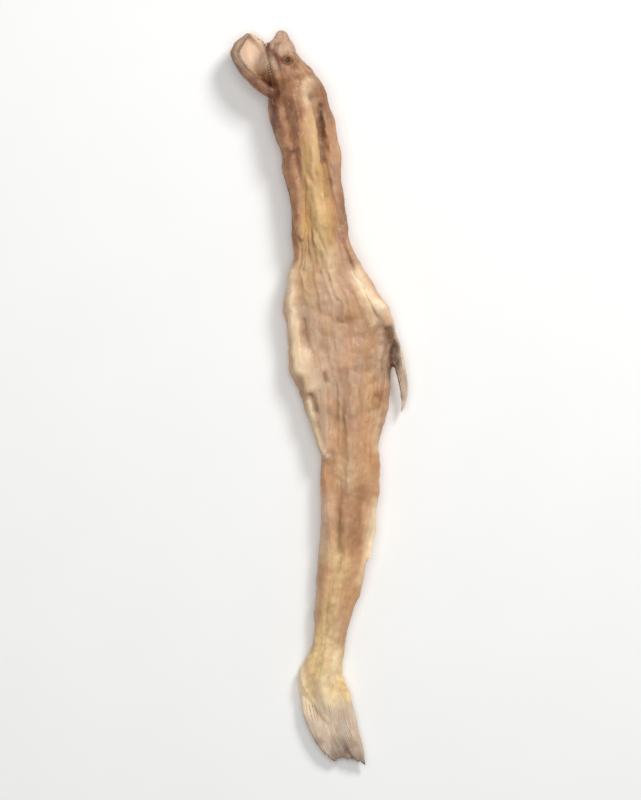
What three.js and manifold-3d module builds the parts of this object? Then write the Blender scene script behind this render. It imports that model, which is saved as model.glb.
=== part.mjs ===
// Dried Bombay duck: one whole fish, dried in the sun until it is thin, ridged and stiff.
//
// Units are millimetres. The fish lies on its right flank: +Z is up, the head points to +Y,
// the belly to -X and the back to +X. The origin is at the bottom centre of the fish's box,
// on the surface that it lies on.

import * as THREE from "three";
import { LoftGeometry } from "three/addons/geometries/LoftGeometry.js";
import { mergeVertices } from "three/addons/utils/BufferGeometryUtils.js";
import Module from "manifold-3d";

const wasm = await Module();
wasm.setup();

const { lerp, clamp, smoothstep } = THREE.MathUtils;

// Driving dimensions: the body at a few named places, from the tail to the snout.
// y is the place along the fish and x how far its middle has drifted sideways. width is the
// size across. crown, edge and keel are heights above the floor: of the upper face, of the
// widest line and of the underside.
const BODY = {
  fleshEnd: { y: -88, x: 4.4, width: 5.0, crown: 3.0, edge: 2.0, keel: 1.0 },
  tailSwell: { y: -80, x: 1.0, width: 12.0, crown: 4.8, edge: 2.2, keel: 0.1 },
  tailRoot: { y: -73.5, x: 0.9, width: 11.4, crown: 5.6, edge: 2.6, keel: 0.0 },
  tailStock: { y: -66, x: 3.3, width: 8.5, crown: 5.9, edge: 3.0, keel: 0.5 },
  stockFront: { y: -57, x: 5.0, width: 10.6, crown: 6.8, edge: 3.3, keel: 0.7 },
  adiposeFin: { y: -43, x: 7.3, width: 13.8, crown: 7.8, edge: 3.6, keel: 0.5 },
  vent: { y: -29, x: 8.8, width: 14.8, crown: 8.4, edge: 3.7, keel: 0.2 },
  loin: { y: -14, x: 9.2, width: 16.6, crown: 8.6, edge: 3.5, keel: 0.0 },
  flank: { y: -2, x: 8.1, width: 22.4, crown: 8.4, edge: 3.1, keel: 0.0 },
  paunch: { y: 9, x: 7.4, width: 28.2, crown: 8.2, edge: 2.9, keel: 0.0 },
  belly: { y: 18, x: 6.8, width: 29.6, crown: 8.4, edge: 3.0, keel: 0.0 },
  breast: { y: 26, x: 5.4, width: 27.6, crown: 8.8, edge: 3.4, keel: 0.0 },
  collar: { y: 33, x: 3.2, width: 22.0, crown: 9.2, edge: 4.0, keel: 0.2 },
  shoulder: { y: 40, x: 2.0, width: 16.6, crown: 9.6, edge: 4.5, keel: 0.7 },
  throat: { y: 51, x: 0.6, width: 14.8, crown: 10.0, edge: 4.9, keel: 0.8 },
  gills: { y: 66, x: -1.8, width: 16.0, crown: 11.0, edge: 5.4, keel: 0.3 },
  nape: { y: 77, x: -4.2, width: 16.2, crown: 12.0, edge: 5.8, keel: 0.0 },
  brow: { y: 87, x: -6.6, width: 12.6, crown: 11.8, edge: 5.8, keel: 0.2 },
  snoutRidge: { y: 94.5, x: -9.2, width: 7.2, crown: 10.0, edge: 5.8, keel: 1.6 },
  snout: { y: 98.6, x: -9.6, width: 5.2, crown: 8.2, edge: 5.8, keel: 3.2 },
  snoutTip: { y: 100, x: -9.6, width: 2.6, crown: 6.9, edge: 5.8, keel: 4.6 },
};
const BODY_RINGS = 78; // sections along the body
const RING_CROWDING = 0.05; // how far the sections crowd towards the two ends
const UPPER_POINTS = 22; // points over the upper face of a section
const LOWER_POINTS = 8; // points under a section
const UPPER_ROUNDNESS = 2.1; // power of the upper half's curve, 2 is an ellipse
const LOWER_ROUNDNESS = 3.4; // the underside has dried flatter
const SETTLE = 0.35; // depth that the soft flesh was pressed flat by what it lay on

// Ridges and furrows that run along the upper face. from and to are places along the fish,
// across is -1 at the belly's edge and 1 at the back's, and half is a half width in the same
// measure. A furrow has a height below 0.
const UPPER_RELIEF = {
  lateralLine: { from: -90, to: 6, across: 0.1, half: 0.2, height: 1.0 },
  trunkBackFurrow: { from: -90, to: 4, across: 0.5, half: 0.17, height: -0.75 },
  trunkBellyFurrow: { from: -90, to: 4, across: -0.36, half: 0.17, height: -0.7 },
  bellyRim: { from: -8, to: 42, across: -0.88, half: 0.12, height: 1.7 },
  backRim: { from: -8, to: 50, across: 0.88, half: 0.11, height: 1.9 },
  backRimFurrow: { from: -8, to: 38, across: 0.68, half: 0.13, height: -1.5 },
  sunkenBelly: { from: -2, to: 30, across: -0.25, half: 0.3, height: -0.6 },
  neckBackFurrow: { from: 36, to: 92, across: 0.5, half: 0.15, height: -1.7 },
  gillSlit: { from: 60, to: 82, across: 0.55, half: 0.12, height: -1.6 },
  throatFurrow: { from: 34, to: 86, across: -0.5, half: 0.15, height: -1.2 },
  goldenRidge: { from: 24, to: 92, across: -0.02, half: 0.3, height: 0.8 },
  browRidge: { from: 82, to: 104, across: 0.5, half: 0.2, height: 0.9 },
};
const LOWER_RELIEF = {
  bellyHollow: { from: -100, to: 110, across: -0.3, half: 0.2, height: 0.5 },
  backHollow: { from: -100, to: 110, across: 0.4, half: 0.2, height: 0.6 },
};
const RELIEF_FADE = 12; // length over which a ridge comes up at its two ends
const RELIEF_FULLNESS = 0.6; // share of the section's height below which relief fades to the edge

// Slow waves that keep the dried form uneven: lengths along the fish, then how the wave
// leans from edge to edge and where it starts, in turns.
const SWELLS = [
  { length: 21, lean: 0.33, start: 0, height: 0.24 },
  { length: 12, lean: -0.5, start: 0.27, height: 0.15 },
  { length: 37, lean: 1.2, start: 0.1, height: 0.12 },
];
const EDGE_WANDER = [
  { length: 17, lean: 0.3, start: 0, height: 0.3 },
  { length: 9, lean: 0.8, start: 0.2, height: 0.16 },
];

// Fins, folded flat. Rays run from a root line to a ragged tip line, and bow pushes the two
// edges sideways halfway along. A fin either lies on the flank, sunk in it at the root and
// lifted off it at the tip, or stands free of it at its own height above the floor.
const FINS = {
  tail: {
    root: [[-4.3, -74], [1, -75.5], [6.2, -74]],
    tip: [[2.4, -97.2], [5.2, -99.2], [8.2, -95.8], [11, -98.8], [13.6, -100.2]],
    rays: 13,
    bow: [-2.6, 1.0],
    free: { root: 2.3, tip: 2.7, ripple: 0.5, ripples: 1.3 },
  },
  pectoral: {
    root: [[-7.4, 70.5], [-4.4, 71.5]],
    tip: [[-5.6, 45], [-3.6, 42.5]],
    rays: 5,
    bow: [-0.4, 0.5],
    lying: { sink: 0.8, lift: 0.5 },
  },
  pelvic: {
    root: [[-6.4, 25], [-1.6, 27.5]],
    tip: [[2.0, -15.5], [3.4, -12.5]],
    rays: 5,
    bow: [-1.2, 1.2],
    lying: { sink: 0.8, lift: 0.4 },
  },
  dorsal: {
    root: [[16.4, 28.5], [20.0, 20], [20.8, 11]],
    tip: [[25.6, 3], [25.0, -1], [23.2, -4]],
    rays: 7,
    bow: [1.6, 0.6],
    free: { root: 5.0, tip: 3.2, ripple: 0.4, ripples: 0.8 },
  },
  adipose: {
    root: [[15.2, -29], [14.2, -42]],
    tip: [[16.4, -35], [14.4, -51]],
    rays: 4,
    bow: [0.2, 0.2],
    free: { root: 4.3, tip: 5.1, ripple: 0, ripples: 0 },
  },
  anal: {
    root: [[2.3, -28], [0.9, -41], [0.9, -50]],
    tip: [[0.6, -42], [-0.4, -50], [0.0, -58]],
    rays: 7,
    bow: [0, 0],
    free: { root: 3.4, tip: 2.8, ripple: 0.3, ripples: 1 },
  },
  gillCover: {
    root: [[-10.2, 80.5], [-7.0, 86.5]],
    tip: [[-11.4, 70.5], [-9.6, 67.4], [-7.0, 66.4], [-4.8, 68], [-3.4, 71.5]],
    rays: 7,
    bow: [-0.5, 0.6],
    lying: { sink: 0.7, lift: 0.7 },
  },
};
const FIN_THICKNESS = { root: 1.4, tip: 0.7 };
const FIN_EDGE_THINNING = 0.12; // how much a fin thins at its first and last edge
const FIN_RAY_HEIGHT = 0.24; // how far a ray stands out of the fin's skin
const FIN_RINGS = 7; // sections along the rays
const RIPPLE_LEAN = 0.3; // how far a fin's ripples drift from its root to its tip

// Jaw bones, from the hinge to the tip. The left half is uppermost. The lower jaw has dropped
// open and twisted, so that its hollow side looks up.
const LOWER_JAW = {
  left: [[-7.4, 79.6, 7.0], [-14.4, 83.8, 8.6], [-19.4, 88.4, 8.6], [-22.4, 93.8, 7.4], [-18.4, 99.2, 5.2]],
  right: [[-9.2, 82.4, 3.2], [-11.0, 87.0, 2.4], [-13.0, 91.6, 2.2], [-14.8, 95.8, 3.0], [-18.0, 99.2, 4.8]],
  bulge: 1.8,
};
const UPPER_JAW = {
  left: [[-7.0, 81.0, 8.4], [-10.2, 86.6, 9.8], [-11.6, 91.6, 9.2], [-12.6, 95.8, 8.0], [-10.4, 99.2, 6.8]],
  right: [[-7.6, 81.6, 2.0], [-8.8, 86.6, 1.9], [-9.8, 92.6, 2.6], [-9.8, 98.8, 5.0]],
  bulge: -0.6,
};
const JAW_RADIUS = { hinge: 1.7, tip: 1.05 };
const JAW_TIP_ROUNDING = 0.12; // share of the bone over which its tip closes
const JAW_SIDES = 9;
const JAW_RINGS = 13;
const SKIN_THICKNESS = 1.1; // of the dried skin between bones
const SKIN_POINTS = 7; // points across such skin
const CHEEK = { reach: 0.6, bulge: 0.5 }; // reach is a share of the jaw's length
const THROAT_SKIN = {
  jawSide: [[-9.0, 80.6, 5.8], [-13.4, 83.4, 6.8]],
  neckSide: [[-8.8, 77.0, 6.0], [-10.2, 71.5, 5.2]],
  bulge: 0.8,
};

const EYE = { y: 91.8, across: 0.12, radius: 1.9, depth: 1.0, segments: 16 };
const FLOOR_CUT = { width: 120, length: 320, depth: 20 }; // the block that trims the underside

const DRIED_FLESH = new THREE.MeshStandardMaterial({ color: 0xc49a6c, roughness: 0.6, metalness: 0 });

// Body sizes at any place along the fish

const BODY_SIZES = ["x", "width", "crown", "edge", "keel"];
const stations = Object.values(BODY);
const bodyCurve = new THREE.CubicInterpolant(
  stations.map((s) => s.y),
  stations.flatMap((s) => BODY_SIZES.map((size) => s[size])),
  BODY_SIZES.length,
);

function bodyAt(y) {
  const [x, width, crown, edge, keel] = bodyCurve.evaluate(y);
  return { x, width, crown, edge, keel };
}

function swell(waves, across, y) {
  return waves.reduce(
    (sum, { length, lean, start, height }) =>
      sum + height * Math.sin(2 * Math.PI * (y / length + lean * across + start)),
    0,
  );
}

// Height of all the ridges and furrows of a face at one point.
function relief(ridges, across, y) {
  return Object.values(ridges).reduce((sum, ridge) => {
    const rising = smoothstep(y, ridge.from, ridge.from + RELIEF_FADE);
    const falling = smoothstep(y, ridge.to - RELIEF_FADE, ridge.to);
    const offset = (across - ridge.across) / ridge.half;
    return sum + ridge.height * (rising - falling) * Math.exp(-offset * offset);
  }, 0);
}

// A point of the body's skin. across is -1 to 1, on the upper face or the underside.
function bodyPoint(across, y, upper) {
  const { x, width, crown, edge, keel } = bodyAt(y);
  const power = upper ? UPPER_ROUNDNESS : LOWER_ROUNDNESS;
  const fullness = (1 - Math.abs(across) ** power) ** (1 / power);
  const narrowing = Math.min(1, width / BODY.gills.width); // thin places have low ridges
  const ridges = relief(upper ? UPPER_RELIEF : LOWER_RELIEF, across, y) * narrowing;
  const roughness = ridges + swell(SWELLS, across, y);
  const depth = upper ? crown - edge : keel - SETTLE - edge;
  const height = edge + depth * fullness + roughness * Math.min(1, fullness / RELIEF_FULLNESS);
  const wander = across * swell(EDGE_WANDER, across, y);
  return new THREE.Vector3(x + (across * width) / 2 + wander, y, height);
}

// Height of the body's upper face under a point, for what lies on it.
function bodyTop(x, y) {
  const { x: middle, width } = bodyAt(y);
  return bodyPoint(clamp((2 * (x - middle)) / width, -1, 1), y, true).z;
}

// Solids

function solidOf(geometry) {
  const bare = new THREE.BufferGeometry();
  bare.setAttribute("position", geometry.getAttribute("position"));
  bare.setIndex(geometry.index);
  const merged = mergeVertices(bare, 1e-3);
  return new wasm.Manifold(
    new wasm.Mesh({
      numProp: 3,
      vertProperties: merged.attributes.position.array,
      triVerts: new Uint32Array(merged.index.array),
    }),
  );
}

// True if a ring of points runs anticlockwise when the next ring is towards the eye.
function facesNext(ring, next) {
  const turning = new THREE.Vector3();
  ring.forEach((point, i) => turning.add(point.clone().cross(ring[(i + 1) % ring.length])));
  const onward = new THREE.Vector3();
  ring.forEach((point, i) => onward.add(next[i]).sub(point));
  return turning.dot(onward) > 0;
}

// A closed solid skinned through rings of points.
function skin(rings) {
  const turned = facesNext(rings[0], rings[1]) ? rings : rings.map((ring) => [...ring].reverse());
  return solidOf(new LoftGeometry(turned, { capStart: true, capEnd: true }));
}

function shares(count) {
  return Array.from({ length: count }, (_, i) => i / (count - 1));
}

function curve(points) {
  return new THREE.CatmullRomCurve3(points.map(([x, y, z = 0]) => new THREE.Vector3(x, y, z)));
}

function bodyRing(y) {
  const upper = shares(UPPER_POINTS).map((s) => bodyPoint(Math.cos(Math.PI * s), y, true));
  const lower = shares(LOWER_POINTS + 2).slice(1, -1);
  return [...upper, ...lower.map((s) => bodyPoint(-Math.cos(Math.PI * s), y, false))];
}

function body() {
  const places = shares(BODY_RINGS).map((s) => s - RING_CROWDING * Math.sin(2 * Math.PI * s));
  return skin(places.map((s) => bodyRing(lerp(BODY.fleshEnd.y, BODY.snoutTip.y, s))));
}

// Height of a fin's middle at a point: along runs from root to tip, q from edge to edge.
function finHeight({ lying, free }, point, along, q) {
  if (lying) {
    return bodyTop(point.x, point.y) + lerp(-lying.sink, lying.lift, along);
  }
  const ripple = Math.sin(2 * Math.PI * free.ripples * (q + RIPPLE_LEAN * along));
  return lerp(free.root, free.tip, along) + free.ripple * ripple;
}

// A fin: rays that stand out of thin skin.
function fin(shape) {
  const rootLine = curve(shape.root);
  const tipLine = curve(shape.tip);
  const across = shares(2 * shape.rays + 1);
  const rings = shares(FIN_RINGS).map((along) => {
    const halfSkin = lerp(FIN_THICKNESS.root, FIN_THICKNESS.tip, along) / 2;
    const arch = 4 * along * (1 - along);
    const middle = across.map((q) => {
      const point = rootLine.getPoint(q).lerp(tipLine.getPoint(q), along);
      point.x += arch * lerp(...shape.bow, q);
      point.z = finHeight(shape, point, along, q);
      return point;
    });
    const half = across.map((q, i) => {
      const atEdge = q === 0 || q === 1;
      return halfSkin + (i % 2 ? FIN_RAY_HEIGHT : 0) - (atEdge ? FIN_EDGE_THINNING : 0);
    });
    const top = middle.map((p, i) => p.clone().setZ(p.z + half[i]));
    const under = middle.map((p, i) => p.clone().setZ(p.z - half[i]));
    return [...top, ...under.reverse()];
  });
  return skin(rings);
}

// One half of a jaw: a bent bone that thins towards the chin or the snout.
function jawBone(line) {
  const { normals, binormals } = line.computeFrenetFrames(JAW_RINGS - 1, false);
  return skin(
    shares(JAW_RINGS).map((along, i) => {
      const closing = Math.min(1, 0.5 + (1 - along) / (2 * JAW_TIP_ROUNDING));
      const radius = lerp(JAW_RADIUS.hinge, JAW_RADIUS.tip, along) * closing;
      const centre = line.getPointAt(along);
      return Array.from({ length: JAW_SIDES }, (_, side) => {
        const angle = (2 * Math.PI * side) / JAW_SIDES;
        return centre
          .clone()
          .addScaledVector(normals[i], radius * Math.cos(angle))
          .addScaledVector(binormals[i], radius * Math.sin(angle));
      });
    }),
  );
}

// Dried skin stretched between two lines, as far along them as reach, and bulging between them.
function stretchedSkin(lineA, lineB, bulge, reach = 1) {
  const across = shares(SKIN_POINTS);
  return skin(
    shares(JAW_RINGS).map((along) => {
      const a = lineA.getPointAt(along * reach);
      const b = lineB.getPointAt(along * reach);
      const onward = lineA.getTangentAt(along * reach).add(lineB.getTangentAt(along * reach));
      const outward = onward.cross(b.clone().sub(a)).normalize();
      const face = (depth) =>
        across.map((q) => {
          const lift = bulge * Math.sin(Math.PI * q) + depth;
          return a.clone().lerp(b, q).addScaledVector(outward, lift);
        });
      return [...face(SKIN_THICKNESS / 2), ...face(-SKIN_THICKNESS / 2).reverse()];
    }),
  );
}

function jaw({ left, right, bulge }) {
  const leftLine = curve(left);
  const rightLine = curve(right);
  return [jawBone(leftLine), jawBone(rightLine), stretchedSkin(leftLine, rightLine, bulge)];
}

// The lower cheek closes the corner of the mouth, and loose skin joins the jaw to the throat.
function mouthSkin() {
  const { jawSide, neckSide, bulge } = THROAT_SKIN;
  return [
    stretchedSkin(curve(LOWER_JAW.right), curve(UPPER_JAW.right), CHEEK.bulge, CHEEK.reach),
    stretchedSkin(curve(jawSide), curve(neckSide), bulge),
  ];
}

// The eye has shrunk away and left a shallow socket.
function eyeSocket() {
  const { x, width } = bodyAt(EYE.y);
  const middle = x + (EYE.across * width) / 2;
  const hollow = new THREE.SphereGeometry(EYE.radius, EYE.segments, EYE.segments - 4);
  hollow.translate(middle, EYE.y, bodyTop(middle, EYE.y) + EYE.radius - EYE.depth);
  return solidOf(hollow);
}

function belowFloor() {
  const { width, length, depth } = FLOOR_CUT;
  return solidOf(new THREE.BoxGeometry(width, length, depth).translate(0, 0, -depth / 2));
}

// The outer skin alone, so that pockets sealed under a fin are solid flesh.
function filled(solid) {
  return solid.decompose().reduce((most, shell) => (shell.volume() > most.volume() ? shell : most));
}

// The whole fish, trimmed flat where it was pressed on the floor

function driedFish() {
  const fins = Object.values(FINS).map(fin);
  const pieces = wasm.Manifold.union([body(), ...fins, ...jaw(LOWER_JAW), ...jaw(UPPER_JAW), ...mouthSkin()]);
  return filled(pieces.subtract(eyeSocket()).subtract(belowFloor()));
}

function geometryOf(solid) {
  const { vertProperties, triVerts } = solid.getMesh();
  const geometry = new THREE.BufferGeometry();
  geometry.setAttribute("position", new THREE.BufferAttribute(vertProperties, 3));
  geometry.setIndex(new THREE.BufferAttribute(triVerts, 1));
  return geometry;
}

// Moves the fish so that the origin is at the bottom centre of its box.
function centred(geometry) {
  geometry.computeBoundingBox();
  const middle = geometry.boundingBox.getCenter(new THREE.Vector3());
  geometry.translate(-middle.x, -middle.y, -geometry.boundingBox.min.z);
  geometry.computeVertexNormals();
  return geometry;
}

const fish = new THREE.Mesh(centred(geometryOf(driedFish())), DRIED_FLESH);
fish.name = "dried_fish";

const part = new THREE.Group();
part.add(fish);

export default part;
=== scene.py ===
# %% [markdown]
# # A dried bombay duck
# The object is one whole sea fish that was hung in the sun until it turned thin, stiff and ridged.
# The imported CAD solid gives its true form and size. This lesson gives it a skin: pleats, creases,
# fin rays, needle teeth, and the tan, cream, gold and grey that the dried fish has.

# %% Load the frame
import math
import random

import bmesh
import bpy
import numpy as np
from mathutils import Matrix, Vector, noise
from mathutils.bvhtree import BVHTree
from mathutils.kdtree import KDTree


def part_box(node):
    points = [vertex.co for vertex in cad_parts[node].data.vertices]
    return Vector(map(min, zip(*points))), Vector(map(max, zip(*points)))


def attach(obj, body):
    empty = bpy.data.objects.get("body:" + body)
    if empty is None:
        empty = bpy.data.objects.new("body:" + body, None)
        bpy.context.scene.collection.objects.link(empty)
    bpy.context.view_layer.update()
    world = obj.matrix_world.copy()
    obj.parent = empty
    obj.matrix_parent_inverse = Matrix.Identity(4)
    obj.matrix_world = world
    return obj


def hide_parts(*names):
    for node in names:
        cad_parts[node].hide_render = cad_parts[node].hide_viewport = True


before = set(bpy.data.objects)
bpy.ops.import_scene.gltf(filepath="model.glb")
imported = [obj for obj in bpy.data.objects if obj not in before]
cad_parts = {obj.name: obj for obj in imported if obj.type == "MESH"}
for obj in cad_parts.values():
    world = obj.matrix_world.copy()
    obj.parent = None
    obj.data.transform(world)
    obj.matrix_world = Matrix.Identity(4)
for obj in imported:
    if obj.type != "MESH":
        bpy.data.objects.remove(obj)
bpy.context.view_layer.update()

MM = 0.001
NODE = "dried_fish"
rng = random.Random(20)
scene = bpy.context.scene
cad_low, cad_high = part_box(NODE)
print("CAD box in mm", [round(v / MM, 1) for v in cad_low], [round(v / MM, 1) for v in cad_high])

# %% [markdown]
# ## Helpers
# A node tree is quicker to read when a node, its settings and its inputs stand on one line, so
# `add_node` makes a node and fills its sockets, from plain values or from other nodes' outputs.
# `mix` is the one node that is used most: it lays one colour over another by a mask.

# %% Small helpers


def link_object(name, data):
    piece = bpy.data.objects.new(name, data)
    scene.collection.objects.link(piece)
    return piece


def new_material(name):
    material = bpy.data.materials.new(name)
    material.use_nodes = True
    return material, material.node_tree, material.node_tree.nodes["Principled BSDF"]


def fill(tree, socket, value):
    if isinstance(value, bpy.types.NodeSocket):
        tree.links.new(value, socket)
    else:
        socket.default_value = value


def add_node(tree, kind, settings=None, **inputs):
    made = tree.nodes.new(kind)
    for key, value in (settings or {}).items():
        setattr(made, key, value)
    for key, value in inputs.items():
        fill(tree, made.inputs[key.replace("_", " ")], value)
    return made


def mix(tree, factor, below, above):
    made = tree.nodes.new("ShaderNodeMix")
    made.data_type = "RGBA"
    fill(tree, made.inputs[0], factor)
    fill(tree, made.inputs[6], below)
    fill(tree, made.inputs[7], above)
    return made.outputs[2]


def times(tree, first, second):
    made = add_node(tree, "ShaderNodeMath", {"operation": "MULTIPLY"})
    fill(tree, made.inputs[0], first)
    fill(tree, made.inputs[1], second)
    return made.outputs[0]


def stretched(tree, value, low, high, to_low, to_high):
    """A value taken from one range to another, and held inside it."""
    made = add_node(tree, "ShaderNodeMapRange", Value=value, From_Min=low, From_Max=high)
    made.inputs["To Min"].default_value = to_low
    made.inputs["To Max"].default_value = to_high
    return made.outputs["Result"]


def shaded(tree, colour, brightness):
    made = add_node(tree, "ShaderNodeVectorMath", {"operation": "SCALE"}, Vector=colour, Scale=brightness)
    return made.outputs["Vector"]


def attribute(tree, name):
    return add_node(tree, "ShaderNodeAttribute", {"attribute_name": name})


def srgb(red, green, blue):
    """A colour as the eye reads it, 0 to 255, turned into the linear values that a shader takes."""
    linear = [((c / 255 + 0.055) / 1.055) ** 2.4 if c > 10 else c / 255 / 12.92 for c in (red, green, blue)]
    return (*linear, 1.0)


# %% [markdown]
# ## Floor and light
# The fish lies on a plain white sheet. A large soft panel straight above keeps every side readable,
# and a smaller one from the upper right rakes across the ridges, so that the pleats cast short shadows.
# A lamp could be a sun, but an area light has the soft shadow edge of a studio panel.

# %% Floor
FLOOR_SIDE = 3.0
FLOOR_GAP = 0.02 * MM

bm = bmesh.new()
bmesh.ops.create_grid(bm, x_segments=1, y_segments=1, size=FLOOR_SIDE / 2)
bmesh.ops.translate(bm, verts=bm.verts, vec=(0, 0, -FLOOR_GAP))
floor_mesh = bpy.data.meshes.new("floor")
bm.to_mesh(floor_mesh)
bm.free()
floor = link_object("floor", floor_mesh)

paper, tree, shader = new_material("white_sheet")
place = add_node(tree, "ShaderNodeTexCoord").outputs["Object"]
speckle = add_node(tree, "ShaderNodeTexNoise", Vector=place, Scale=40.0, Detail=2.0)
sheet_colour = mix(tree, speckle.outputs["Fac"], srgb(246, 246, 244), srgb(250, 250, 249))
fill(tree, shader.inputs["Base Color"], sheet_colour)
shader.inputs["Roughness"].default_value = 0.7
shader.inputs["Specular IOR Level"].default_value = 0.2
floor_mesh.materials.append(paper)
print("floor", FLOOR_SIDE, "m wide,", round(FLOOR_GAP / MM, 2), "mm under the fish")

# %% Lights
PANELS = {
    "sky_panel": {"place": (-0.06, 0.05, 0.95), "side": 0.8, "power": 4.7},
    "raking_panel": {"place": (0.34, 0.48, 0.50), "side": 0.22, "power": 3.4},
}
SKY_GLOW = 0.22

for name, panel in PANELS.items():
    light = bpy.data.lights.new(name, "AREA")
    light.size = panel["side"]
    light.energy = panel["power"]
    lamp = link_object(name, light)
    lamp.location = panel["place"]
    lamp.rotation_euler = Vector(panel["place"]).to_track_quat("Z", "Y").to_euler()

world = bpy.data.worlds.new("studio")
world.use_nodes = True
world.node_tree.nodes["Background"].inputs["Color"].default_value = (1.0, 1.0, 1.0, 1.0)
world.node_tree.nodes["Background"].inputs["Strength"].default_value = SKY_GLOW
scene.world = world
scene.view_settings.view_transform = "Standard"
print("lights:", list(PANELS))

# %% [markdown]
# ## Camera
# The photograph looks straight down on the fish, head up, with no visible perspective. A long lens
# from well above gives that. The picture is 641 by 800, and the fish's length fills most of its height.

# %% Camera
PICTURE = (641, 800)
FISH_SHARE = 0.925
CAMERA_HEIGHT = 1.4
SENSOR = 36.0

fish_length = cad_high.y - cad_low.y
view_height = fish_length / FISH_SHARE
camera_data = bpy.data.cameras.new("camera")
camera_data.sensor_fit = "VERTICAL"
camera_data.sensor_height = SENSOR
camera_data.lens = SENSOR * (CAMERA_HEIGHT - cad_high.z / 2) / view_height
camera = link_object("camera", camera_data)
camera.location = (0, 0, CAMERA_HEIGHT)
scene.camera = camera
print("lens", round(camera_data.lens, 1), "mm, one pixel is", round(view_height / PICTURE[1] / MM, 3), "mm")

# %% [markdown]
# ## Lines of the drawing
# Fins, jaws and the body's middle follow the same lines as in the CAD drawing, in millimetres there,
# with its y axis along the fish. They are needed again here, because rays, teeth, pleats and colours
# all follow them. The drawing was centred on its box at the end, so each line is moved as it was.

# %% Body, fins and jaws, as drawn
DRAWING_SHIFT = np.array([-1.025, 0.1, 0.0])

# y, x of the middle, half width, and height of the widest line
BODY = {
    "flesh_end": (-88, 4.4, 4.5, 2.2),
    "tail_root": (-75, 0.9, 5.8, 2.6),
    "tail_stock": (-66, 3.3, 4.3, 3.0),
    "adipose_fin": (-43, 7.3, 6.9, 3.6),
    "loin": (-14, 9.2, 8.3, 3.5),
    "flank": (-2, 8.1, 11.2, 3.1),
    "paunch": (9, 7.4, 14.1, 2.9),
    "belly": (18, 6.8, 14.8, 3.0),
    "breast": (26, 5.4, 13.8, 3.4),
    "collar": (33, 3.2, 11.0, 4.0),
    "shoulder": (40, 2.0, 8.3, 4.5),
    "throat": (51, 0.6, 7.4, 4.9),
    "gills": (66, -1.8, 8.0, 5.4),
    "nape": (77, -4.2, 8.1, 5.8),
    "brow": (87, -6.6, 6.3, 5.8),
    "snout_ridge": (94.5, -9.2, 3.6, 5.8),
    "snout_tip": (100, -9.6, 1.3, 5.8),
}
BODY_HALF_HEIGHT = 4.6

FINS = {
    "tail": {
        "root": [(-4.3, -74), (1, -75.5), (6.2, -74)],
        "tip": [(2.4, -97.2), (5.2, -99.2), (8.2, -95.8), (11, -98.8), (13.6, -100.2)],
        "bow": (-2.6, 1.0),
        "rays": 21,
        "free": True,
    },
    "pectoral": {
        "root": [(-7.4, 70.5), (-4.4, 71.5)],
        "tip": [(-5.6, 45), (-3.6, 42.5)],
        "bow": (-0.4, 0.5),
        "rays": 7,
        "free": False,
    },
    "pelvic": {
        "root": [(-6.4, 25), (-1.6, 27.5)],
        "tip": [(2.0, -15.5), (3.4, -12.5)],
        "bow": (-1.2, 1.2),
        "rays": 10,
        "free": False,
    },
    "dorsal": {
        "root": [(16.4, 28.5), (20.0, 20), (20.8, 11)],
        "tip": [(25.6, 3), (25.0, -1), (23.2, -4)],
        "bow": (1.6, 0.6),
        "rays": 9,
        "free": True,
    },
    "adipose": {
        "root": [(15.2, -29), (14.2, -42)],
        "tip": [(16.4, -35), (14.4, -51)],
        "bow": (0.2, 0.2),
        "rays": 0,
        "free": True,
    },
    "anal": {
        "root": [(2.3, -28), (0.9, -41), (0.9, -50)],
        "tip": [(0.6, -42), (-0.4, -50), (0.0, -58)],
        "bow": (0, 0),
        "rays": 11,
        "free": True,
    },
    "gill_cover": {
        "root": [(-10.2, 80.5), (-7.0, 86.5)],
        "tip": [(-11.4, 70.5), (-9.6, 67.4), (-7.0, 66.4), (-4.8, 68), (-3.4, 71.5)],
        "bow": (-0.5, 0.6),
        "rays": 0,
        "free": False,
    },
}

LOWER_JAW = {
    "left": [
        (-7.4, 79.6, 7.0), (-14.4, 83.8, 8.6), (-19.4, 88.4, 8.6), (-22.4, 93.8, 7.4), (-18.4, 99.2, 5.2),
    ],
    "right": [
        (-9.2, 82.4, 3.2), (-11.0, 87.0, 2.4), (-13.0, 91.6, 2.2), (-14.8, 95.8, 3.0), (-18.0, 99.2, 4.8),
    ],
    "bulge": 1.8,
}
UPPER_JAW = {
    "left": [
        (-7.0, 81.0, 8.4), (-10.2, 86.6, 9.8), (-11.6, 91.6, 9.2), (-12.6, 95.8, 8.0), (-10.4, 99.2, 6.8),
    ],
    "right": [(-7.6, 81.6, 2.0), (-8.8, 86.6, 1.9), (-9.8, 92.6, 2.6), (-9.8, 98.8, 5.0)],
    "bulge": -0.6,
}
JAW_RADIUS = {"hinge": 1.7, "tip": 1.05}
EYE = {"x": -8.1, "y": 91.7, "radius": 1.5}


def along_line(points, shares):
    """Points at these shares of a smooth curve through a drawn line, moved into the frame, in mm."""
    drawn = np.array([(*p, 0.0)[:3] for p in points], float) + DRAWING_SHIFT
    padded = np.array([2 * drawn[0] - drawn[1], *drawn, 2 * drawn[-1] - drawn[-2]])
    at = np.clip(np.asarray(shares, float), 0, 1) * (len(drawn) - 1)
    first = np.minimum(at.astype(int), len(drawn) - 2)
    t = (at - first)[..., None]
    p0, p1, p2, p3 = (padded[first + k] for k in range(4))
    bend = (2 * p0 - 5 * p1 + 4 * p2 - p3) * t**2 + (3 * p1 - p0 - 3 * p2 + p3) * t**3
    return p1 + 0.5 * ((p2 - p0) * t + bend)


def fin_points(fin, across, along):
    """Points of a fin seen from above: across runs over its rays, along from root to tip."""
    root = along_line(fin["root"], across)
    tip = along_line(fin["tip"], across)
    points = root + (tip - root) * np.asarray(along)[..., None]
    bow = fin["bow"][0] + (fin["bow"][1] - fin["bow"][0]) * across
    points[..., 0] += 4 * along * (1 - along) * bow
    return points


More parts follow.
